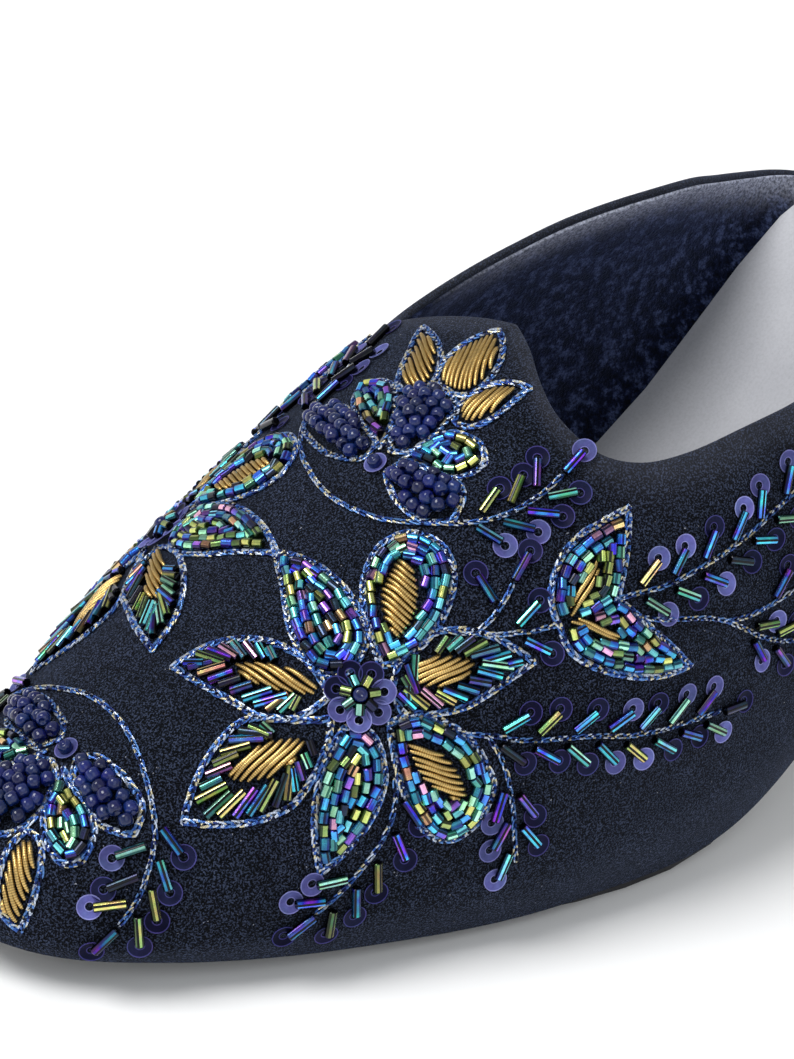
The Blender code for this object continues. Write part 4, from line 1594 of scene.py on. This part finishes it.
def lay_flower_centre(zone, charted):
    """A ring of sequins, a cut bead from each hole towards the middle, and a seed bead on top."""
    station, drop = zone.chart([charted])[0]
    centre = skin(station, drop)
    along, _ = skin_slopes(station, drop)
    normal = skin_normal(station, drop)
    ahead = unit(along)
    across = np.cross(normal, ahead)
    angles = np.arange(CENTRE_PARTS) * 2.0 * math.pi / CENTRE_PARTS + CENTRE_TURN
    outward = np.cos(angles)[:, None] * ahead + np.sin(angles)[:, None] * across
    # Those on the inner side of the ring and the one nearest the toe catch the light
    lit = (outward @ unit(skin(station, drop - 1.0) - centre) > 0.1) | (outward @ ahead < -0.8)
    for kind, (radius, lift, tilt), colours in (
        ("sequins", CENTRE_SEQUINS, sequin_colours(CENTRE_PARTS, lit)),
        ("cut_beads", CENTRE_BEADS, glass_colours(CENTRE_PARTS)),
    ):
        guess = np.full(CENTRE_PARTS, station), np.full(CENTRE_PARTS, drop)
        stations, drops = on_skin(centre + outward * radius, *guess)
        zone.lay(kind, stations, drops, outward, lift, colours, tilt=tilt)
    lay_boss(zone, station, drop, CENTRE_BOSS_LIFT)


def lay_boss(zone, station, drop, lift):
    """A seed bead standing on its hole."""
    along, _ = skin_slopes(station, drop)
    zone.lay_one("seed_beads", station, drop, along, lift, np.array([[NAVY]]), tilt=math.pi / 2)


def lay_spray(zone, spray, centre):
    """The petals of a spray, and a sequin with a bead on it in their midst."""
    for *petal, slant in spray:
        lay_petal(zone, *petal, slant)
    station, drop = zone.chart([centre])[0]
    along, _ = skin_slopes(station, drop)
    zone.lay_one("sequins", station, drop, along, SPRAY_SEQUIN_LIFT, sequin_colours(1, 1.0))
    lay_boss(zone, station, drop, SPRAY_BOSS_LIFT)


def embroider():
    """The whole pattern.  The inner half is charted and the outer half is carried over from it."""
    zones = [Zone("inner"), Zone("outer", mirrored=True)]
    for zone in zones:
        for *petal, core in FLOWER:
            lay_petal(zone, *petal, core=core)
        lay_flower_centre(zone, FLOWER_CENTRE)
        for *petal, core in LEAF_PAIR:
            lay_petal(zone, "beads", *petal, core=core, corded=False)
        for cord in LEAF_PAIR_CORDS:
            lay_cord(zone, cord, OUTLINE_BREADTH)
        for vine in VINES:
            lay_cord(zone, vine[0])
            lay_sprig(zone, *vine)
    for name, spray, centre, crescent in (
        ("throat", THROAT_SPRAY, THROAT_CENTRE, CRESCENTS[0]),
        ("toe", both_sides(TOE_SPRAY), TOE_CENTRE, CRESCENTS[1]),
    ):
        zone = Zone(name)
        lay_spray(zone, spray, centre)
        lay_cord(zone, crescent[0])
        lay_sprig(zone, *crescent)
        lay_sprig(zone, crescent[0][::-1], *crescent[1:], swapped=True)
        zones.append(zone)
    finishes = {
        "bugles": (bead_material("bugle_glass", 0.85, 0.2, 0.25, 0.5, 0.09), "cut_beads", 40.0),
        "cut_beads": (bead_material("cut_glass", 0.85, 0.22, 0.25, 0.5, 0.05), "cut_beads", 40.0),
        "seed_beads": (bead_material("navy_glass", 0.0, 0.2, 0.22, 0.35, 0.01), "seed_beads", 60.0),
        "sequins": (bead_material("sequin_film", 0.0, 0.5, 0.0, 0.06, 0.01), "sequins", 40.0),
        "purl": (purl_material(), "gold_purl", 60.0),
        "cords": (cord_material(), "cord", 60.0),
    }
    for zone in zones:
        for kind, (material, slot, sharp) in finishes.items():
            zone.piles[kind].make(f"{kind}_{zone.name}", material, slot, sharp)


# ---------------------------------------------------------------- the scene around the shoe

# The camera, in degrees and millimetres
CAMERA_AZIMUTH = -39.4
CAMERA_ELEVATION = 25.8
CAMERA_ROLL = 5.3
CAMERA_DISTANCE = 350.6
CAMERA_TARGET = (-32.7, 22.97, 29.5)
SENSOR = 36.0
LENS = 77.34

# Where the camera starts to see, the lights and the floor, in metres.  The world's levels are its
# brightness at two heights.
CLIP_START = 0.01
LIT_PLACE = (-0.03, 0.0, 0.04)
WORLD_LEVELS = ((0.16, 1.0), (0.42, 0.5))
KEY_PLACE = (-0.55, 0.18, 1.0)
KEY_POWER = 2.3
KEY_SPREAD = 30.0
FILL_PLACE = (-0.35, -0.8, 0.75)
FILL_POWER = 2.1
FILL_SIZE = 0.8
FILL_COLOUR = (0.86, 0.94, 1.0)
FLOOR_REACH = 6.0


def make_camera():
    """The camera looks down on the forepart from the toe's inner side, a little rolled."""
    azimuth, elevation, roll = (math.radians(a) for a in (CAMERA_AZIMUTH, CAMERA_ELEVATION, CAMERA_ROLL))
    level = math.cos(elevation)
    back = Vector((math.sin(azimuth) * level, -math.cos(azimuth) * level, math.sin(elevation)))
    right = Vector((math.cos(azimuth), math.sin(azimuth), 0.0))
    up = back.cross(right)
    side = right * math.cos(roll) + up * math.sin(roll)
    top = up * math.cos(roll) - right * math.sin(roll)
    camera = bpy.data.cameras.new("camera")
    camera.sensor_width = SENSOR
    camera.lens = LENS
    camera.clip_start = CLIP_START
    holder = new_object("camera", camera)
    place = (Vector(CAMERA_TARGET) + back * CAMERA_DISTANCE) * METRES
    holder.matrix_world = Matrix.Translation(place) @ Matrix((side, top, back)).transposed().to_4x4()
    bpy.context.scene.camera = holder


def make_light(kind, name, place, power):
    """A light at a place in metres, pointed at the shoe."""
    light = bpy.data.lights.new(name, kind)
    light.energy = power
    holder = new_object(name, light)
    holder.location = place
    holder.rotation_mode = "QUATERNION"
    holder.rotation_quaternion = (Vector(LIT_PLACE) - Vector(place)).to_track_quat("-Z", "Y")
    return light


def make_world():
    """Even light from all round, white near the horizon so that it meets the floor."""
    world = bpy.data.worlds.new("studio")
    world.use_nodes = True
    tree = world.node_tree
    direction = tree.nodes.new("ShaderNodeTexCoord")
    height = tree.nodes.new("ShaderNodeSeparateXYZ")
    sky = tree.nodes.new("ShaderNodeValToRGB")
    for element, (place, level) in zip(sky.color_ramp.elements, WORLD_LEVELS):
        element.position = place
        element.color = (level, level, level, 1.0)
    tree.links.new(direction.outputs["Generated"], height.inputs["Vector"])
    tree.links.new(height.outputs["Z"], sky.inputs["Fac"])
    tree.links.new(sky.outputs["Color"], tree.nodes["Background"].inputs["Color"])
    bpy.context.scene.world = world


def make_studio():
    """The world, a wide sun from above, a soft light from the camera's side, and a pale floor."""
    make_world()
    bpy.context.scene.view_settings.view_transform = "Standard"
    make_light("SUN", "key", KEY_PLACE, KEY_POWER).angle = math.radians(KEY_SPREAD)
    fill = make_light("AREA", "fill", FILL_PLACE, FILL_POWER)
    fill.size = FILL_SIZE
    fill.color = FILL_COLOUR

    finish = Finish("pale_floor", Roughness=0.9, Specular_IOR_Level=0.1)
    shades = (0.3, srgb(250, 250, 250)), (0.7, srgb(254, 254, 254))
    finish.feed("Base Color", finish.ramp(finish.noise(60.0, 2.0), *shades))
    mesh = bpy.data.meshes.new("floor")
    corners = [(x * FLOOR_REACH, y * FLOOR_REACH, 0.0) for x, y in ((-1, -1), (1, -1), (1, 1), (-1, 1))]
    mesh.from_pydata(corners, [], [(0, 1, 2, 3)])
    mesh.materials.append(finish.material)
    floor = new_object("floor", mesh)


def main():
    make_camera()
    make_studio()
    suede = suede_material()
    lining = lining_material()
    upper = make_shell("upper_suede", 0.0, SUEDE_THICKNESS, 0.0, suede, "suede", -PALE_REACH)
    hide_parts("upper")
    embroider()
    depth, thickness = SUEDE_THICKNESS, WALL - SUEDE_THICKNESS
    make_shell("upper_lining", depth, thickness, LINING_DROP, lining, "lining", LINING_PALE_FROM)
    make_eased("insole", "insole_sock", leather_material(), "insole_leather")
    make_eased("outsole", "outsole_leather", sole_material(), "outsole")
    make_eased("heel", "heel_cover", suede, "heel_cover")
    make_eased("heel_tip", "heel_tip_rubber", rubber_material(), "heel_tip_rubber")


main()
